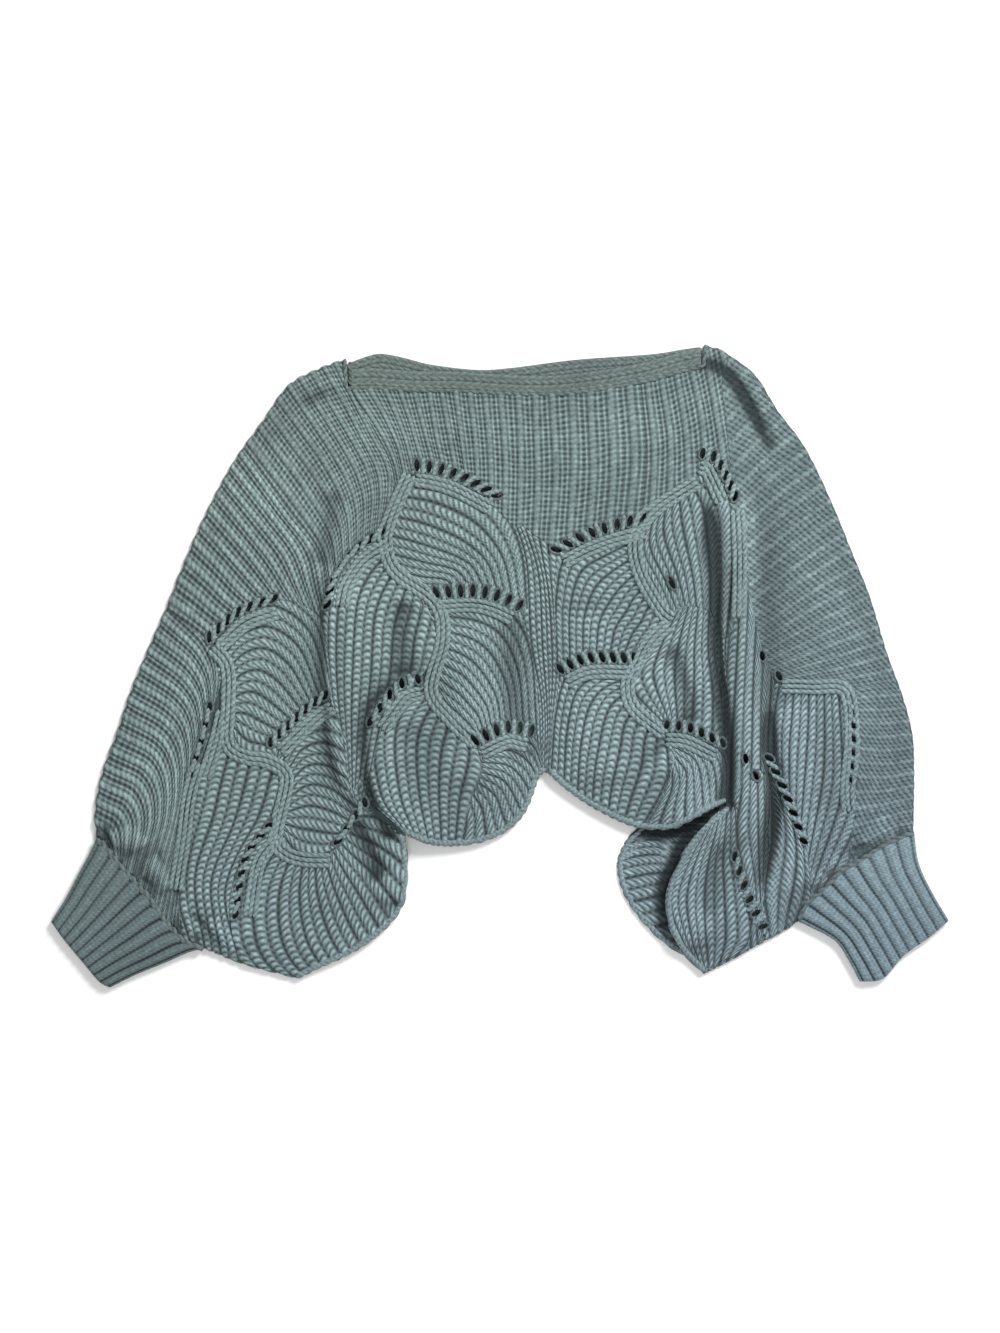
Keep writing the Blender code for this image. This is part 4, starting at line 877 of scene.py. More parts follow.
def yarn(name, crest, crevice, twist):
    """Knitted yarn: pale on the crests and darkened towards the crevice colour by the depth attribute as
    painted shade, paler and greener towards the upper left and darker and bluer towards the lower right as
    painted light falloff, with cloudy tone, a fine twist along the strand and fuzz."""
    material = bpy.data.materials.new(name)
    material.use_nodes = True
    tree = material.node_tree
    shader = tree.nodes["Principled BSDF"]
    shader.inputs["Roughness"].default_value = 0.9
    shader.inputs["Specular IOR Level"].default_value = 0.22
    shader.inputs["Sheen Weight"].default_value = 0.12
    shader.inputs["Sheen Roughness"].default_value = 0.6
    place = add_node(tree, "TexCoord", {}).outputs

    # Painted light falloff: paler and greener towards the upper left, darker and bluer towards the lower
    # right
    axes = add_node(tree, "SeparateXYZ", {"Vector": place["Object"]}).outputs
    sides = add_node(tree, "MapRange", {"Value": axes["X"], "From Min": -0.36, "From Max": 0.30})
    height = add_node(tree, "MapRange", {"Value": axes["Y"], "From Min": 0.28, "From Max": -0.26})
    downwards = add_node(tree, "Math", {0: height.outputs["Result"], 1: 0.55}, operation="MULTIPLY")
    to_low_right = add_node(tree, "Math", {0: sides.outputs["Result"], 1: 0.45,
                                           2: downwards.outputs["Value"]}, operation="MULTIPLY_ADD")
    painted_falloff = add_node(tree, "Mix", {"Factor": to_low_right.outputs["Value"],
                                  "A": (crest[0] * 1.02, crest[1] * 1.05, crest[2] * 0.93, 1),
                                  "B": (crest[0] * 0.84, crest[1] * 0.87, crest[2] * 0.94, 1)},
                    data_type="RGBA")

    cloud = cloudy(tree, place["Object"], 11.0, 3.0, 0.86, 1.10)
    fleck = cloudy(tree, place["Object"], 330.0, 2.0, 0.76, 1.22)
    tone = add_node(tree, "Math", {0: cloud, 1: fleck}, operation="MULTIPLY")
    toned = add_node(tree, "VectorMath", {0: painted_falloff.outputs["Result"], "Scale": tone.outputs["Value"]},
                     operation="SCALE")
    # Painted shade: the depth attribute mixes the colour towards the crevice colour
    depth = add_node(tree, "Attribute", {}, attribute_name="depth")
    shade = add_node(tree, "Mix", {"Factor": depth.outputs["Fac"], "A": toned.outputs["Vector"],
                                   "B": (*crevice, 1)}, data_type="RGBA")
    tree.links.new(shade.outputs["Result"], shader.inputs["Base Color"])

    turns = add_node(tree, "TexWave", {"Vector": place["UV"], "Scale": twist, "Distortion": 1.2},
                     wave_type="BANDS", bands_direction="DIAGONAL")
    ply = add_node(tree, "Bump", {"Strength": 0.5, "Distance": 0.0004, "Height": turns.outputs["Fac"]})
    fuzz = add_node(tree, "TexNoise", {"Vector": place["Object"], "Scale": 1500.0, "Detail": 3.0})
    hairs = add_node(tree, "Bump", {"Strength": 0.5, "Distance": 0.0003, "Height": fuzz.outputs["Fac"],
                                    "Normal": ply.outputs["Normal"]})
    tree.links.new(hairs.outputs["Normal"], shader.inputs["Normal"])
    return material


# Each yarn's second colour is its painted shade in the crevices. The ground's yarn and the left cuff's yarn
# are darker copies of the panel's and the cuff's yarn, as painted shade
PANEL_YARN = yarn("panel_yarn", (0.312, 0.408, 0.426), (0.005, 0.011, 0.014), PANEL_TWIST)
SHADED_GROUND_YARN = yarn("shaded_ground_yarn", (0.110, 0.150, 0.158), (0.008, 0.014, 0.016), PANEL_TWIST)
CORD_YARN = yarn("cord_yarn", (0.250, 0.330, 0.340), (0.012, 0.022, 0.026), PANEL_TWIST)
BAND_YARN = yarn("band_yarn", (0.142, 0.180, 0.181), (0.006, 0.011, 0.013), PANEL_TWIST)
CUFF_YARN = yarn("cuff_yarn", (0.248, 0.330, 0.352), (0.010, 0.020, 0.025), CUFF_TWIST)
SHADED_CUFF_YARN = yarn("shaded_cuff_yarn", (0.152, 0.202, 0.213), (0.008, 0.015, 0.018), CUFF_TWIST)


# The ribs


def darker(deep, shade):
    """A depth that takes up a share of what is left to full dark, as more painted shade."""
    return np.clip(deep + (1 - deep) * shade, 0, 1)


def stitch_rise(across, rows, wide, uneven, knit, paired):
    """The height of a stitched rib and how deep each point lies, which darkens its colour as painted shade.

    across runs from -1 to 1 between the rib's two valleys and rows counts stitches along it. The middle is a
    column of slanted loops: a round cap across, times a bulge in each row that is steep at its upper end.
    Beside it runs a thin beaded thread. Each row has a small dark dot between the loop and the thread and a
    larger one in the valley; the dots, the gaps between rows and the valleys are darkened as painted shade.
    uneven is a number from -1 to 1 for each stitch, so that no two are alike. paired says how deep the
    valley on that side is, and how dark its painted shade; each second one is deeper."""
    away, inner, has_gaps = np.abs(across), knit["inner"], knit["gap"] > 0
    turned = rows + knit["slant"] * across - 0.22 * np.minimum(away / inner, 1) ** 2 * has_gaps
    bulge = np.sin(np.pi * np.mod(turned, 1.0) ** 0.8) ** (0.6 if knit["thread"] else 0.85)
    cap = np.sqrt(np.clip(1 - (across / (inner + 0.10)) ** 2, 0, 1))
    loop = cap * (1 - (0.35 + 0.30 * knit["gap"]) * (1 - bulge)) * (1 + 0.10 * uneven)
    row_line = 0.5 + 0.5 * np.cos(2 * np.pi * rows)
    thread = knit["thread"] * bell(away - (1 + inner) / 2, 0.18) * (1 - 0.32 * row_line)

    row_line = row_line ** (1.1 if has_gaps else 2.0)
    dot = np.clip(1 + 0.45 * uneven, 0, 1) * bell(1 - away, knit["dot_reach"]) * row_line
    small = bell(away - inner, knit["small_reach"]) * row_line
    small = small * np.clip(knit["small"] * (1 - 0.50 * uneven), 0, 1)
    parting = knit["pair"] * paired * bell(1 - away, 0.36)
    groove = 0.20 * bell(away - inner, 0.10) * has_gaps

    narrow = np.clip(wide / RIB_WIDTH, 0.25, 1.15) ** 0.5
    crest = np.maximum(RIB_RISE * knit["high"] * loop, THREAD_RISE * thread)
    rise = np.maximum(crest, BASE_RISE * knit["base"]) * narrow
    rise = rise * (1 - 0.85 * dot) * (1 - 0.65 * small) * (1 - 0.6 * parting)

    light = np.clip((inner + 0.12 - away) / 0.24, 0, 1) * knit["loop"] * (1 - knit["gap"] * (1 - bulge))
    between = np.clip((inner - away) / 0.20, 0, 1) * knit["gap"] * (1 - bulge) * (knit["thread"] == 0)
    light = np.maximum(np.maximum(light, thread), knit["base"]) * (1 + 0.14 * uneven)
    light = light * (1 - between) * (1 - dot) * (1 - small) * (1 - groove) * (1 - parting)
    light = light * (1 - knit["valley"] * ease((away - 0.76) / 0.2))
    return rise, np.clip(1 - light, 0, 1)


def field_surface(field):
    """A field's ribs as one function of two parameters: across the field and along its runs.

    Across, a parabola goes through the first, middle and last run; along, the runs are even in length."""
    runs = [resample(smooth(plan(run)), RUN_STEPS) for run in field["runs"]]

    def place(s, t):
        first, middle, last = [at_share(run, t) for run in runs]
        s = s[..., None]
        return first * (1 - s) * (1 - 2 * s) + middle * 4 * s * (1 - s) + last * s * (2 * s - 1)

    return place


def joined(parts):
    """Several sets of points, cells, depth and yarn coordinates as one."""
    starts = np.cumsum([0] + [len(part[0]) for part in parts])
    cells = [part[1] + start for part, start in zip(parts, starts)]
    points, deep, uv = [[part[k] for part in parts] for k in (0, 2, 3)]
    return np.vstack(points), np.vstack(cells), np.concatenate(deep), np.vstack(uv)


def field_loop(field):
    """A field's edge as a closed loop: its first run, its end, its last run backwards and its start."""
    place = field_surface(field)
    t, s = np.linspace(0, 1, 15), np.linspace(0, 1, 7)
    first, last = place(np.zeros(15), t), place(np.ones(15), t[::-1])
    end, start = place(s[1:-1], np.ones(5)), place(s[::-1][1:-1], np.zeros(5))
    return np.vstack((first, end, last, start))


def field_reach(fields):
    """For each field two maps: how far inside its own share of the panel a point is, and how far outside its
    own loop.

    The panel is shared out so that each point goes to the field whose loop is nearest, or holds it deepest;
    the first value is half the difference between the distance to the next field's loop and to its own."""
    distances = []
    for field in fields:
        loop = field_loop(field)
        distance = np.abs(beside(MAP_POINTS, np.vstack((loop, loop[:1])))[0])
        distances.append(np.where(inside(MAP_POINTS, loop), -distance, distance))
    distances = np.array(distances)
    nearest, owner = np.sort(distances, axis=0)[:2], np.argmin(distances, axis=0)
    return {field["name"]: (map_of((np.where(owner == i, nearest[1], nearest[0]) - distances[i]) / 2),
                            map_of(distances[i])) for i, field in enumerate(fields)}


def way_between(start, stop):
    """The unit vector from one point to another."""
    return (stop - start) / max(np.linalg.norm(stop - start), 1e-9)


def rib_grid(place, samples, s, knit, sway_start):
    """One rib's plan points, its row numbers and how far each station lies beyond the field's ends.

    The grid follows the field's surface, and beyond an end it runs straight on. The rib sways a little, most
    of all in its middle. Rows are counted by the lengths of the two valleys, blended across, so that they
    stay in step with the next rib's. The result is None where the rib is shorter than a stitch."""
    shares = np.linspace(0.0, 1.0, RUN_STEPS + 1)
    lines = [place(np.full(RUN_STEPS + 1, value), shares) for value in (s[0], s[len(s) // 2], s[-1])]
    left_length, length, right_length = [lengths_along(line) for line in lines]
    line, total = lines[1], length[-1]
    if total < knit["row"]:
        return None
    stations_a_row = WIDE_STATIONS if knit["thread"] else PETAL_STATIONS
    count = max(4, round((total + 2 * SPARE_LENGTH) / knit["row"] * stations_a_row))
    reach = np.linspace(-SPARE_LENGTH, total + SPARE_LENGTH, count + 1)
    beyond = np.where(reach < 0, reach, np.where(reach > total, reach - total, 0.0))
    stations = np.interp(reach, length, shares)
    way = np.where((reach < 0)[:, None], way_between(line[0], line[4]), way_between(line[-5], line[-1]))
    sway = SWAY * np.sin(reach / SWAY_LENGTH + sway_start)[:, None] * (1 - np.abs(samples))[None, :]
    points = place(*np.meshgrid(s, stations))
    points = points + (beyond[:, None] * way)[:, None, :] + sway[..., None] * SWAY_WAY
    across = np.meshgrid(samples, reach)[0]
    left, right = [np.interp(stations, shares, valley)[:, None] for valley in (left_length, right_length)]
    rows = (left + (right - left) * (across + 1) / 2 + beyond[:, None]) / knit["row"]
    return points, rows, beyond


def rib_heights(flat, across, rise, owned, knit, depth, base):
    """The heights of a rib's points. Also how far each may reach past the panel's edge, how far inside that
    edge it is, and a step from 0 to 1 where the rib comes clear of the next field.

    A rib sinks a little where it meets the next field, and in a crease, and rises and falls with the gathers.
    Near the panel's edge it rolls down in a quarter circle, more tightly beside the neck."""
    inner, steep, low = [values.reshape(rise.shape) for values in base(flat)]
    meet = ease((owned + FIELD_MEET) / (2 * FIELD_MEET))
    limit = EDGE_REACH * knit["edge"] * (1 - across ** 2) - EDGE_SLACK
    into, by_neck = [read(chart, flat).reshape(rise.shape) for chart in (depth, BY_NECK)]
    roll = quarter_round((into + limit) / (EDGE_ROLL - NECK_CRISP * by_neck))
    sunk, pleat = [read(chart, flat).reshape(rise.shape) if depth is FRONT_DEPTH else 0.0
                   for chart in (CREASE, GATHER)]
    top = inner + (RIB_FOOT + rise * (0.35 + 0.65 * meet)) * steep - MEET_SINK * (1 - meet)
    top = np.maximum(top - CREASE_SINK * sunk + GATHER_RISE * pleat, inner + LEAST_KNIT)
    return low + (top - low) * roll, limit, into, meet


def handed(place):
    """1 where a field's ribs follow each other to the left of their way, or else -1."""
    ends = place(np.array((0.5, 0.5, 0.0, 1.0)), np.array((0.1, 0.9, 0.5, 0.5)))
    way, over = ends[1] - ends[0], ends[3] - ends[2]
    return math.copysign(1.0, way[0] * over[1] - way[1] * over[0])


def rib_strips(fields, draws, depth, eyelets, base, shares):
    """The stitched ribs of some fields as one mesh: a grid for each rib, across it and along it.

    base gives the height of the panel's inner face, how steep it is there and how low a rolled edge comes. A
    rib runs on past its field's ends, and some ribs are added past its sides, wherever no other field is
    nearer. Its crest reaches a little past the panel's edge."""
    parts = []
    for field in fields:
        place = field_surface(field)
        share_map, own_map = shares[field["name"]]
        knit = dict(KNITS[field.get("knit", "petal")])
        knit["slant"] *= handed(place)
        samples = ACROSS_WIDE if knit["thread"] else ACROSS_PETAL
        for rib in range(-SPARE_RIBS, field["ribs"] + SPARE_RIBS):
            sway_start, seeds = draws.uniform(0, 6.3), draws.uniform(-1, 1, SEEDS)
            grid = rib_grid(place, samples, (rib + (samples + 1) / 2) / field["ribs"], knit, sway_start)
            if grid is None:
                continue
            points, rows, beyond = grid
            across = np.broadcast_to(samples, rows.shape)
            rows = rows + knit["skew"] * (2 * rib + across + 1) + ROW_WANDER * np.sin(
                points[..., 0] / 0.009 + points[..., 1] / 0.021) * np.sin(points[..., 1] / 0.013)
            wide = np.linalg.norm(points[:, -1] - points[:, 0], axis=1)[:, None]
            uneven = seeds[np.mod(np.floor(rows) + 31 * np.round(1.5 * across), SEEDS).astype(int)]
            paired = np.where(across < 0, rib % 2 == 0, rib % 2 == 1) * 0.45 + 0.55
            rise, deep = stitch_rise(across, rows, wide, uneven, knit, paired)
            flat = points.reshape(-1, 2)
            owned, outside_own = [read(chart, flat).reshape(rise.shape) for chart in (share_map, own_map)]
            z, limit, into, meet = rib_heights(flat, across, rise, owned, knit, depth, base)
            # Painted shade where the rib meets the next field
            deep = np.maximum(deep, 0.30 * (1 - meet))
            spare = rib < 0 or rib >= field["ribs"]
            past = (beyond != 0)[:, None] | np.full(rise.shape, spare)
            kept = (owned > -FIELD_MEET) & (~past | (outside_own > -SPARE_REACH)) & (into > -UNCUT_REACH)
            cells = facing_up(flat, grid_cells(*rise.shape))
            cells = cells[kept.ravel()[cells].all(axis=1)]
            if len(cells):
                uv = np.column_stack((across.ravel() * RIB_WIDTH / 2 + rib * RIB_WIDTH,
                                      rows.ravel() * knit["row"]))
                parts.append((np.column_stack((flat, z.ravel(), limit.ravel())), cells, deep.ravel(), uv))
    points, cells, deep, uv = joined(parts)
    plan_points, cells = cut_to_edge(points[:, :2], cells, depth, points[:, 3])
    plan_points, cells = cut_eyelets(plan_points, cells, eyelets, 1.0)
    # Painted shade on the front's knit in the folds' hollows, the creases and the gathers' troughs, and
    # painted light on ridges
    if depth is FRONT_DEPTH:
        painted_hollow_shade = HOLLOW_SHADE * read(HOLLOW, plan_points) + CREASE_SHADE * read(CREASE, plan_points)
        painted_hollow_shade = painted_hollow_shade + GATHER_SHADE * np.maximum(-read(GATHER, plan_points), 0)
        deep = darker(deep, np.minimum(painted_hollow_shade, DARKEST_HOLLOW))
    return np.column_stack((plan_points, points[:, 2])), cells, deep, uv


FRONT_RIBS = (
    ("front_yoke_ribs", YOKE_FIELDS),
    ("front_sleeve_left_ribs", SLEEVE_LEFT_FIELDS),
    ("front_petals_left_ribs", PETALS_LEFT_FIELDS),
    ("front_petals_middle_ribs", PETALS_MIDDLE_FIELDS),
    ("front_petals_right_ribs", PETALS_RIGHT_FIELDS),
    ("front_sleeve_right_ribs", SLEEVE_RIGHT_FIELDS),
    ("front_sleeve_right_low_ribs", SLEEVE_RIGHT_LOW_FIELDS),
)
FRONT_SHARES = field_reach([field for _, fields in FRONT_RIBS for field in fields])


def front_base(points):
    """The front's inner face, its steepness and the height that a rolled edge comes down to."""
    inner = FLOOR_OF_FRONT + read(LIFT, points)
    near = 1 - ease(read(TO_JOIN, points) / EDGE_ZONE)
    return inner, read(STEEP, points), (inner + ROLLED_FOOT) * (1 - near) + JOINED_FOOT * near


def back_base(points):
    """The back's foot under its inside ribs, which lies flat."""
    return (np.full(len(points), BACK_FOOT), np.ones(len(points)),
            np.full(len(points), BACK_ROLLED_FOOT))


def sheet_from_maps(name, depth, eyelets, step, upper, lower):
    """A closed sheet: a square grid cut to the panel's edge and its eyelets, as an upper and a lower face
    with a wall along every open side."""
    xs = np.arange(MAP_X[0] + 2 * MAP_STEP, MAP_X[-1] - 2 * MAP_STEP, step)
    ys = np.arange(MAP_Y[0] + 2 * MAP_STEP, MAP_Y[-1] - 2 * MAP_STEP, step)
    points = np.stack(np.meshgrid(xs, ys), axis=-1).reshape(-1, 2)
    cells = grid_cells(len(ys), len(xs))
    cells = cells[read(depth, points[cells].mean(axis=1)) > 0.0]
    moved, cells = cut_to_edge(points, cells, depth, np.full(len(points), -SHEET_INSET))
    moved, cells = cut_eyelets(moved, cells, eyelets, EYELET_ROOM)
    used, cells = np.unique(cells, return_inverse=True)
    moved = moved[used]
    cells = facing_up(moved, cells.reshape(-1, 4))
    count = len(moved)
    sides = np.stack((cells, np.roll(cells, -1, axis=1)), axis=-1).reshape(-1, 2)
    _, first, uses = np.unique(np.sort(sides, axis=1), axis=0, return_index=True, return_counts=True)
    rim = sides[first[uses == 1]]
    walls = np.column_stack((rim[:, 1], rim[:, 0], rim[:, 0] + count, rim[:, 1] + count))
    points = np.vstack((np.column_stack((moved, upper(moved))), np.column_stack((moved, lower(moved)))))
    cells = np.vstack((cells, cells[:, ::-1] + count, walls))
    # Painted shade: the sheet lies under the ribs, its upper face darker than its lower, in the shaded ground
    # yarn
    deep = np.concatenate((np.full(count, 0.55), np.full(count, 0.25)))
    return add_knit(name, points, cells, deep, np.vstack((moved, moved)), SHADED_GROUND_YARN, "panel_knit")


def make_front():
    """The front panel's ground sheet and its stitched ribs."""
    def lower(points):
        return FLOOR_OF_FRONT + read(LIFT, points)

    def upper(points):
        return lower(points) + GROUND_WALL * read(STEEP, points) - GROUND_SINK * read(CREASE, points)

    ground = sheet_from_maps("front_panel_ground", FRONT_DEPTH, FRONT_EYELETS, GROUND_STEP, upper, lower)
    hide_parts("front_panel")
    pieces = []
    draws = np.random.default_rng(11)
    for name, fields in FRONT_RIBS:
        strips = rib_strips(fields, draws, FRONT_DEPTH, FRONT_EYELETS, front_base, FRONT_SHARES)
        pieces.append(add_knit(name, *strips, PANEL_YARN, "panel_knit"))
    return ground, pieces


# Cords, seams and cast-off edges


def rope(run, radius, flat, pitch, sides=8, step=CORD_STEP, closed=False):
    """A two-ply cord along a run of points in space: an oval section whose radius has two bulges that turn
    round it once in two pitches. Its ends are round. Returns points, cells, depth and yarn coordinates."""
    length = lengths_along(run)[-1]
    count = max(3, round(length / step))
    line = resample(run, count)
    if closed:
        line = line[:-1]
    way = (np.roll(line, -1, axis=0) - np.roll(line, 1, axis=0)) if closed else np.gradient(line, axis=0)
    way = way / np.maximum(np.linalg.norm(way, axis=1), 1e-9)[:, None]
    aside = np.column_stack((-way[:, 1], way[:, 0], np.zeros(len(way))))
    aside /= np.maximum(np.linalg.norm(aside, axis=1), 1e-9)[:, None]
    up = np.cross(way, aside) * -1
    up *= np.sign(up[:, 2:3] + 1e-9)
    angle = np.linspace(0, 2 * math.pi, sides, endpoint=False)
    along = np.linspace(0, length, count + 1)[:len(line)]
    turned, reach = np.meshgrid(angle, along)
    ply = np.abs(np.cos(turned - math.pi * reach / pitch)) ** 0.8
    size = radius * (0.82 + 0.20 * ply) * (1 + 0.09 * np.sin(reach / 0.0113 + 90 * line[0, 0]))
    if not closed:
        taper = quarter_round(np.minimum(along, length - along) / radius)
        size = size * np.maximum(taper, 0.05)[:, None]
    points = (line[:, None, :] + (size * np.cos(turned))[..., None] * aside[:, None, :]
              + (size * flat * np.sin(turned))[..., None] * up[:, None, :]).reshape(-1, 3)
    cells = tube_cells(len(line), sides, closed)
    cells = faced(points, cells, 0, points[cells[0]].mean(axis=0) - line[0])
    # Painted shade between the two plies
    deep = (0.10 + 0.66 * (1 - ply) ** 1.2).ravel()
    return points, cells, deep, np.column_stack(((turned * radius).ravel(), reach.ravel()))


def on_front(run, above):
    """A plan run laid on the front at a height above its inner face."""
    return np.column_stack((run, FLOOR_OF_FRONT + read(LIFT, run) + above * read(STEEP, run)))


def at_height(run, height):
    """A plan run at one height over the floor."""
    return np.column_stack((run, np.full(len(run), height)))


def beside_run(run, offset):
    """The run moved sideways, to its left for a positive offset."""
    way = np.gradient(run, axis=0)
    way /= np.linalg.norm(way, axis=1)[:, None]
    return run + np.column_stack((-way[:, 1], way[:, 0])) * offset


def inside_edge(stretch, depth, offset):
    """A stretch of a panel's edge, moved inwards by an offset."""
    line = edge(stretch, LINE_STEP)
    moved = beside_run(line, offset)
    return beside_run(line, -offset) if read(depth, moved).mean() < 0 else moved


def clear_of_eyelets(run, margin):
    """A plan run bent round the eyelets: a point nearer than margin is moved out, and the line is evened."""
    for centre, tilt, half in FRONT_EYELETS:
        turn = turned_by(tilt)
        local = (run - centre) @ turn
        reach = np.hypot(local[:, 0] / (half + margin), local[:, 1] / (EYELET_WIDTH / 2 + margin))
        near = (reach < 1) & (reach > 0)
        run = run.copy()
        run[near] = centre + (local[near] / reach[near, None]) @ turn.T
    run[1:-1] = (run[:-2] + 2 * run[1:-1] + run[2:]) / 4
    return run


def make_cords():
    """The cords that bound the petals, three side by side, and the three under each eyelet arc."""
    parts = []
    for run in CORDS:
        line = edge(run, LINE_STEP)
        for offset in PETAL_CORD_OFFSETS:
            strand = clear_of_eyelets(beside_run(line, offset), PETAL_CORD_MARGIN)
            parts.append(rope(on_front(strand, CORD_HEIGHT), **PETAL_CORD))
    for arc in EYELET_ARCS:
        if arc["side"] == 0:
            continue
        line = edge(arc["arc"], LINE_STEP)
        for offset in ARC_CORD_OFFSETS:
            parts.append(rope(on_front(beside_run(line, -arc["side"] * offset), CORD_HEIGHT), **ARC_CORD))
    return add_knit("petal_cords", *joined(parts), CORD_YARN, "panel_knit")


def make_eyelets():
    """A rim round each eyelet, as a closed oval cord, and a strand across between neighbouring eyelets."""
    linings, strands = [], []
    angle = np.linspace(0, 2 * math.pi, 25)
    for centre, tilt, half in FRONT_EYELETS:
        way = np.array((math.cos(tilt), math.sin(tilt)))
        aside = np.array((-way[1], way[0]))
        oval = (centre + np.outer(np.cos(angle), way) * (half + LINING_OUTSIDE)
                + np.outer(np.sin(angle), aside) * (EYELET_WIDTH / 2 + LINING_OUTSIDE))
        linings.append(rope(on_front(oval, LINING_HEIGHT), closed=True, **LINING))
    for (centre, tilt, half), (other, next_tilt, _) in zip(FRONT_EYELETS[:-1], FRONT_EYELETS[1:]):
        if np.linalg.norm(other - centre) > NEIGHBOUR_REACH:
            continue
        lean = (tilt + next_tilt) / 2
        reach = np.linspace(-1, 1, 9)[:, None] * (half + STRAND_OUTSIDE)
        strand = (centre + other) / 2 + reach * np.array((math.cos(lean), math.sin(lean)))
        strands.append(rope(on_front(strand, STRAND_HEIGHT), **STRAND))
    # The eyelets' rims take the shaded ground yarn, painted shade round the holes
    return [add_knit("eyelet_linings", *joined(linings), SHADED_GROUND_YARN, "panel_knit"),
            add_knit("eyelet_strands", *joined(strands), CORD_YARN, "panel_knit")]


def make_hems():
    """The cast-off edges along the front's scallops, the folded edges of sleeves and underarms, and the seams
    at the neck and the cuffs, where the cuffs' seams wander a little."""
    hems = [rope(on_front(inside_edge(stretch, FRONT_DEPTH, HEM_INSET), HEM_HEIGHT), **HEM)
            for stretch in (HEM_RIGHT, HEM_CENTRE, SIDE_LOBE_LEFT, SIDE_LOBE_RIGHT)]
    folded = [rope(at_height(inside_edge(stretch, FRONT_DEPTH, FOLDED_INSET), FOLDED_HEIGHT), **FOLDED_EDGE)
              for stretch in (SLEEVE_LEFT, SLEEVE_RIGHT, UNDERARM_LEFT, UNDERARM_RIGHT)]
    neck = np.vstack([plan(stretch)[:-1] for stretch in neck_edge(BAND_FRONT)] + [plan([CORNER_RIGHT])])
    neck = resample(neck, round(lengths_along(neck)[-1] / LINE_STEP))
    seams = [rope(at_height(neck, NECK_SEAM_HEIGHT), **NECK_SEAM)]
    for stretch in (SEAM_LEFT, SEAM_RIGHT):
        line = edge(stretch, LINE_STEP)
        station = np.arange(len(line))
        line = line + np.column_stack((np.sin(station * 1.9), np.cos(station * 2.3))) * CUFF_SEAM_WANDER
        seams.append(rope(at_height(line, CUFF_SEAM_HEIGHT), **CUFF_SEAM))
    # The folded edges take the shaded ground yarn, as painted shade
    return [add_knit("front_hem", *joined(hems), CORD_YARN, "panel_knit"),
            add_knit("folded_edges", *joined(folded), SHADED_GROUND_YARN, "panel_knit"),
            add_knit("neck_and_cuff_seams", *joined(seams), BAND_YARN, "panel_knit")]


# The back


def make_back():
    """The back panel: a closed sheet with shallow ribs and creases underneath, and stitched ribs on its
    inside where the front leaves it in view. Beside the front's edge they carry the front's painted shadow,
    and painted shade makes them a little darker low down."""
    def upper(points):
        shown = ease(-read(FRONT_DEPTH, points) / BACK_TOP_STEP)
        return BACK_TOP * (1 - shown) + BACK_TOP_SHOWN * shown

    def lower(points):
        wavy = points[:, 0] + 0.03 * np.sin(points[:, 1] / 0.07)
        rib = 0.5 + 0.5 * np.cos(2 * math.pi * wavy / RIB_WIDTH)
        crease = np.zeros(len(points))
        for run, *_ in FOLDS[:13:2]:
            crease += bell(beside(points * (-1, 1), smooth(plan(run), 3))[0], BACK_CREASE_REACH)
        return BACK_RIB_RISE * rib + BACK_CREASE_RISE * np.minimum(crease, 1)

    ground = sheet_from_maps("back_panel_ground", BACK_DEPTH, BACK_EYELETS, BACK_STEP, upper, lower)
    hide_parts("back_panel")
    nothing_near = map_of(np.full(len(MAP_POINTS), 1.0))
    points, cells, deep, uv = rib_strips(BACK_FIELDS, np.random.default_rng(5), BACK_DEPTH, [], back_base,
                                         {"inside_lobe": (nothing_near, nothing_near)})
    # Painted shadow of the front beside its edge, and painted shade low down
    from_front = -read(FRONT_DEPTH, points[:, :2])
    low_down = ease((LOBE_SHADE_TOP - points[:, 1]) / LOBE_SHADE_LENGTH)
    front_shadow = 0.96 * (1 - ease((from_front - LOBE_STRIP) / LOBE_STRIP_FADE)) * (1 - 0.5 * low_down)
    deep = darker(deep, np.maximum(front_shadow, 0.34 * low_down))
    ribs = add_knit("back_inside_ribs", points, cells, deep, uv, PANEL_YARN, "panel_knit")
    line = at_height(inside_edge(HEM_BACK, BACK_DEPTH, HEM_INSET), BACK_HEM_HEIGHT)
    hem = add_knit("back_hem", *rope(line, **BACK_HEM), CORD_YARN, "panel_knit")
    return ground, [ribs, hem]


# The cuffs


def cuff_surface(cuff):
    """A cuff's plan as a function of two parameters, across it and from seam to end, and the cuff's length.

    The plan is a blend of its four edges, and it starts a small gap beyond the seam."""
    seam = resample(edge(cuff["seam"], CUFF_SEAM_STEP), CUFF_EDGE_STEPS)
    first, last, end = [resample(smooth(plan(cuff[side])), CUFF_EDGE_STEPS)
                        for side in ("first", "last", "end")]
    outward = end.mean(axis=0) - seam.mean(axis=0)
    length = np.linalg.norm(outward)
    outward = outward / length

    def place(s, t):
        a, b, c, d = at_share(seam, s), at_share(end, s), at_share(first, t), at_share(last, t)
        s, t = s[..., None], t[..., None]
        flat = ((1 - t) * (1 - s) * first[0] + (1 - t) * s * last[0]
                + t * (1 - s) * first[-1] + t * s * last[-1])
        return (1 - t) * a + t * b + (1 - s) * c + s * d - flat + outward * CUFF_GAP * (1 - t)

    return place, length


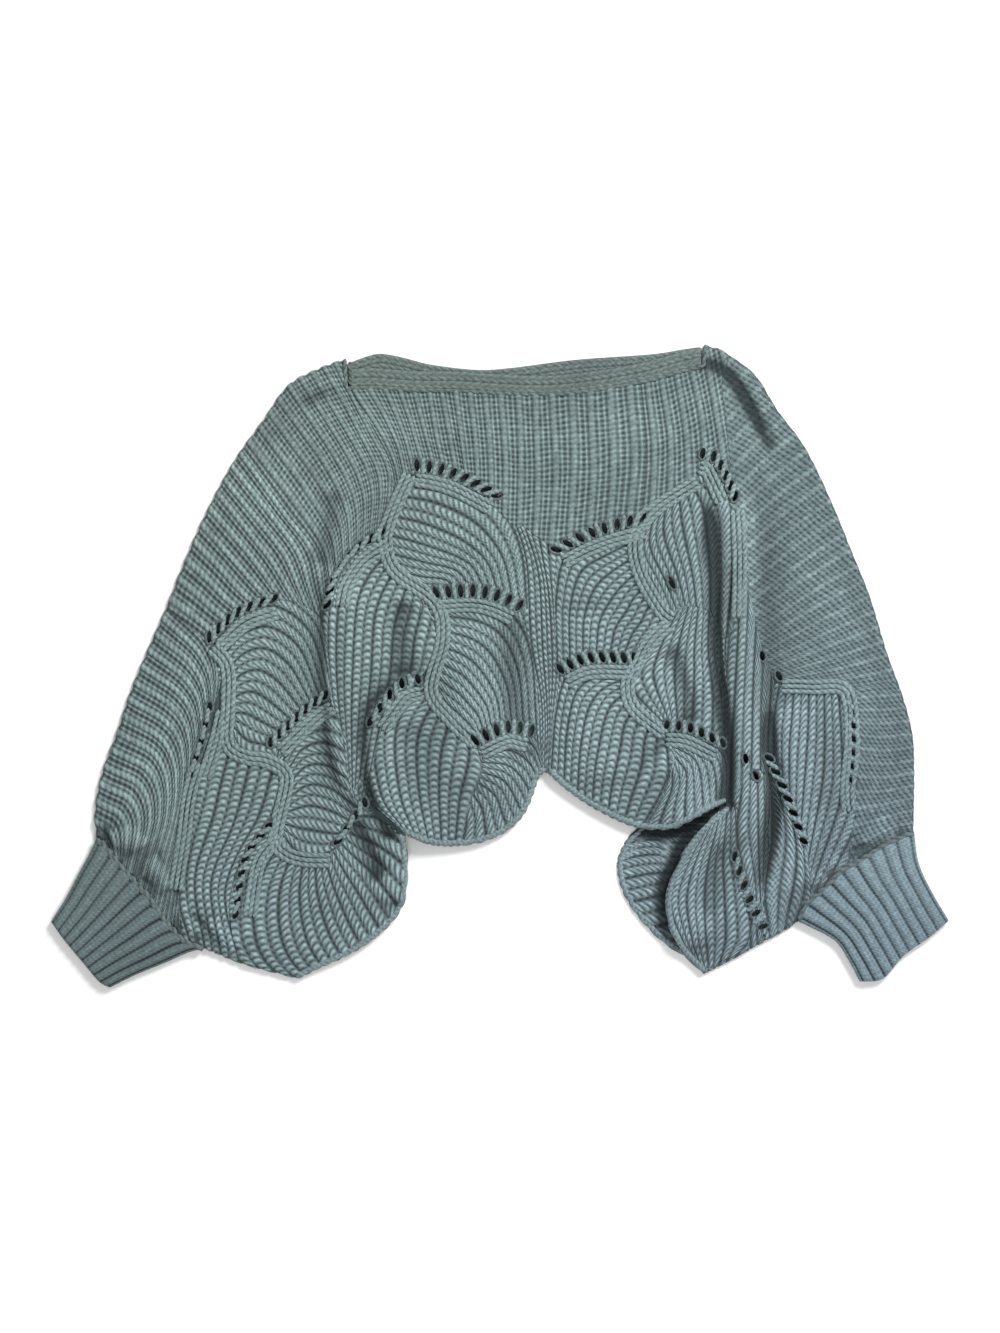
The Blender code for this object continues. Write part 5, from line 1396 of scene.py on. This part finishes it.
def make_cuff(cuff, material):
    """A flattened ribbed tube. Round the section the height follows the top run, a rounded side, the low run
    and the other side, with rounded ribs and small rows on it. The tube rolls in at both ends, and a plain
    inner face goes back from the end to the seam."""
    place, length = cuff_surface(cuff)
    samples = CUFF_RIBS * CUFF_RIB_SAMPLES
    run = np.linspace(CUFF_SIDE, 1 - CUFF_SIDE, samples + 1)
    side = np.linspace(0, math.pi, 10)[1:-1]
    around = np.concatenate((run, 1 - CUFF_SIDE + CUFF_SIDE * np.sin(side),
                             run[::-1], CUFF_SIDE - CUFF_SIDE * np.sin(side)))
    up_or_down = np.concatenate((np.ones(len(run)), 0.5 + 0.5 * np.cos(side),
                                 np.zeros(len(run)), 0.5 - 0.5 * np.cos(side)))
    s, t = np.meshgrid(around, np.linspace(0, 1, round(length / CUFF_STATION) + 1))
    level = np.broadcast_to(up_or_down, s.shape)
    rib = np.clip((s - CUFF_SIDE) / (1 - 2 * CUFF_SIDE), 0, 1) * CUFF_RIBS
    column = np.abs(np.sin(math.pi * rib)) ** 0.75
    row = t * length / CUFF_ROW + 0.8 * np.abs(np.mod(rib, 1) - 0.5)
    stitch = np.abs(np.sin(math.pi * row)) ** 0.7
    on_side = (level > 0.001) & (level < 0.999)
    share = np.where(on_side, 0.75, column * (0.70 + 0.30 * stitch))

    middle = CUFF_TOP / 2
    top = CUFF_TOP - CUFF_TOP_RELIEF * (1 - share)
    low = CUFF_LOW_RELIEF * (1 - share)
    half = np.where(level >= 0.5, (2 * level - 1) * (top - middle), (2 * level - 1) * (middle - low))
    end_roll = quarter_round((1 - t) * length / 0.004)
    seam_roll = quarter_round((t * length + 0.001) / 0.003)
    z = middle + half * (0.45 + 0.55 * end_roll) * (0.7 + 0.3 * seam_roll)
    # Painted shade in the ribs' valleys, deeper towards the cuff's last edge and uneven from rib to rib, in
    # the fine grooves and between rows
    fine = 0.5 + 0.5 * np.cos(2 * math.pi * rib * 3)
    uneven = 0.5 + 0.5 * np.sin(np.floor(rib) * 2.4 + 3 * t)
    deep = (0.30 + 0.40 * s + 0.20 * uneven) * (1 - ease(share / 0.85)) + 0.28 * fine + 0.20 * (1 - stitch)

    inner_s, inner_t = np.meshgrid(0.5 + (around - 0.5) * 0.95, np.linspace(1, 0, CUFF_INNER_RINGS))
    inner_level = np.broadcast_to(up_or_down, inner_s.shape)
    inner_z = middle + (2 * inner_level - 1) * (middle - CUFF_WALL) * 0.9
    points = np.vstack((np.column_stack((place(s, t).reshape(-1, 2), z.ravel())),
                        np.column_stack((place(inner_s, inner_t).reshape(-1, 2), inner_z.ravel()))))
    cells = tube_cells(len(s) + len(inner_s), len(around), True)
    cells = faced(points, cells, len(around) + samples // 2, UPWARDS)
    # The inner face is darkened evenly, as painted shade inside the tube
    deep = np.concatenate((deep.ravel(), np.full(inner_s.size, 0.5)))
    uv = np.vstack((np.column_stack((s.ravel() * CUFF_WIDTH, t.ravel() * length)),
                    np.column_stack((inner_s.ravel() * CUFF_WIDTH, inner_t.ravel() * length))))
    piece = add_knit(cuff["name"] + "_rib", points, cells, deep, uv, material, "cuff_rib")
    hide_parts(cuff["name"])
    return piece, length


# The neck band


def band_line():
    """The band's upper edge as one closed round: the front run, the right turn, the back run and the left
    turn. Returns its plan points, their heights and the direction in which the band's outer face looks."""
    front, back = [resample(smooth(plan(run)), BAND_STEPS) for run in (BAND_FRONT, BAND_BACK)]
    turn = np.linspace(0.0, math.pi, 12)[1:-1]
    low, high = BAND_WALL / 2, BAND_WALL / 2 + BAND_LIFT
    middle, radius = (low + high) / 2, BAND_LIFT / 2
    bulge = np.column_stack((radius * np.sin(turn), np.zeros(len(turn))))
    to_back = np.minimum(1.0, 2 * turn / math.pi)[:, None]
    to_front = np.maximum(0.0, 2 * turn / math.pi - 1)[:, None]
    right = front[-1] * (1 - to_back) + back[-1] * to_back + bulge
    left = back[0] * (1 - to_front) + front[0] * to_front - bulge
    line = np.vstack((front, right, back[::-1], left))
    height = np.concatenate((np.full(len(front), high), middle + radius * np.cos(turn),
                             np.full(len(back), low), middle - radius * np.cos(turn)))
    quarter = math.pi / 2
    lean = np.concatenate((np.full(len(front), quarter), quarter - turn,
                           np.full(len(back), -quarter), -quarter - turn))
    return line, height, lean


def make_band():
    """The neck band: a rounded flat section carried round the neck, a front run on top of a back run, with
    four rows of small garter stitches that slant to and fro."""
    line, height, lean = band_line()
    depth = BAND_DEPTH * SQUARE
    face = np.linspace(0, 1, BAND_SAMPLES)
    section = np.concatenate((face, face[::-1][1:-1])) * depth
    faces = np.concatenate((np.ones(BAND_SAMPLES), -np.ones(BAND_SAMPLES - 2)))
    drop, reach = np.meshgrid(section, lengths_along(line))
    outer_or_inner = np.broadcast_to(faces, drop.shape)
    roll = quarter_round(np.minimum(drop, depth - drop) / BAND_ROLL)
    course = drop / depth * BAND_ROWS
    slope = np.where(np.floor(course) % 2 == 0, 0.8, -0.8)
    turns = reach / BAND_STITCH + slope * np.mod(course, 1) + 0.25 * np.floor(course)
    stitch = np.abs(np.sin(math.pi * turns)) ** 0.7
    ridge = np.abs(np.sin(math.pi * course)) ** 0.6
    share = (0.35 + 0.65 * ridge) * (0.35 + 0.65 * stitch)
    thick = (BAND_WALL / 2 - BAND_SUNK + BAND_RELIEF * share) * roll
    points = np.stack((line[:, 0][:, None] + outer_or_inner * thick * np.cos(lean)[:, None],
                       line[:, 1][:, None] - drop,
                       height[:, None] + outer_or_inner * thick * np.sin(lean)[:, None]), axis=-1)
    points[..., 2] = np.maximum(points[..., 2], BAND_LEAST)
    points = points.reshape(-1, 3)
    cells = tube_cells(len(line), len(section), True)
    cells = faced(points, cells, 10 * len(section) + BAND_SAMPLES // 2, UPWARDS)
    # Painted shade between the garter ridges and between stitches
    deep = (1 - ease(share / 0.9)) * 0.75 + 0.08
    uv = np.column_stack((drop.ravel(), reach.ravel()))
    piece = add_knit("neck_band_knit", points, cells, deep.ravel(), uv, BAND_YARN, "band_knit")
    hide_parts("neckband")
    return piece, reach[-1, 0]


# Build


back, back_pieces = make_back()
front, front_pieces = make_front()
front_pieces += [make_cords(), *make_eyelets(), *make_hems()]
band, band_length = make_band()
# The left cuff takes the shaded copy of the cuff yarn, as painted shade
cuffs = [make_cuff(cuff, tone) for cuff, tone in zip(CUFFS, (SHADED_CUFF_YARN, CUFF_YARN))]

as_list(front_pieces)
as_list(back_pieces)

# The floor, the light and the camera

FLOOR_HALF = 4.0
FLOOR_LEVEL = -0.0002
floor_mesh = bpy.data.meshes.new("floor")
floor_mesh.from_pydata([(x * FLOOR_HALF, y * FLOOR_HALF, FLOOR_LEVEL)
                        for x, y in ((-1, -1), (1, -1), (1, 1), (-1, 1))], [], [(0, 1, 2, 3)])
floor = bpy.data.objects.new("floor", floor_mesh)
bpy.context.collection.objects.link(floor)
paper = bpy.data.materials.new("floor_paper")
paper.use_nodes = True
paper.node_tree.nodes["Principled BSDF"].inputs["Base Color"].default_value = (0.95, 0.95, 0.95, 1)
paper.node_tree.nodes["Principled BSDF"].inputs["Roughness"].default_value = 0.95
paper.node_tree.nodes["Principled BSDF"].inputs["Specular IOR Level"].default_value = 0.1
floor_mesh.materials.append(paper)


def soft_light(name, place, size, watts):
    """A square soft light at a place, turned towards the sweater."""
    light = bpy.data.lights.new(name, "AREA")
    light.shape = "SQUARE"
    light.size = size
    light.energy = watts
    lamp = bpy.data.objects.new(name, light)
    lamp.location = place
    lamp.rotation_euler = (-Vector(place)).to_track_quat("-Z", "Y").to_euler()
    bpy.context.collection.objects.link(lamp)


soft_light("key_light", (1.15, 1.5, 1.75), 0.8, 71)
soft_light("fill_light", (0.2, -1.1, 2.2), 1.6, 20)

world = bpy.data.worlds.new("studio")
world.use_nodes = True
world.node_tree.nodes["Background"].inputs["Color"].default_value = (1, 1, 1, 1)
world.node_tree.nodes["Background"].inputs["Strength"].default_value = 0.42
bpy.context.scene.world = world
bpy.context.scene.view_settings.view_transform = "Standard"
bpy.context.scene.view_settings.exposure = 0.0

CAMERA_HEIGHT = 3.0
SENSOR_WIDTH = 36.0
PICTURE_SQUARES = 1000
lens = bpy.data.cameras.new("camera")
lens.sensor_fit = "HORIZONTAL"
lens.sensor_width = SENSOR_WIDTH
lens.lens = SENSOR_WIDTH * CAMERA_HEIGHT / (PICTURE_SQUARES * SQUARE)
lens.clip_end = 20.0
camera = bpy.data.objects.new("camera", lens)
camera.location = (0.0, 0.0, CAMERA_HEIGHT)
camera.rotation_euler = (0.0, 0.0, 0.0)
bpy.context.collection.objects.link(camera)
bpy.context.scene.camera = camera
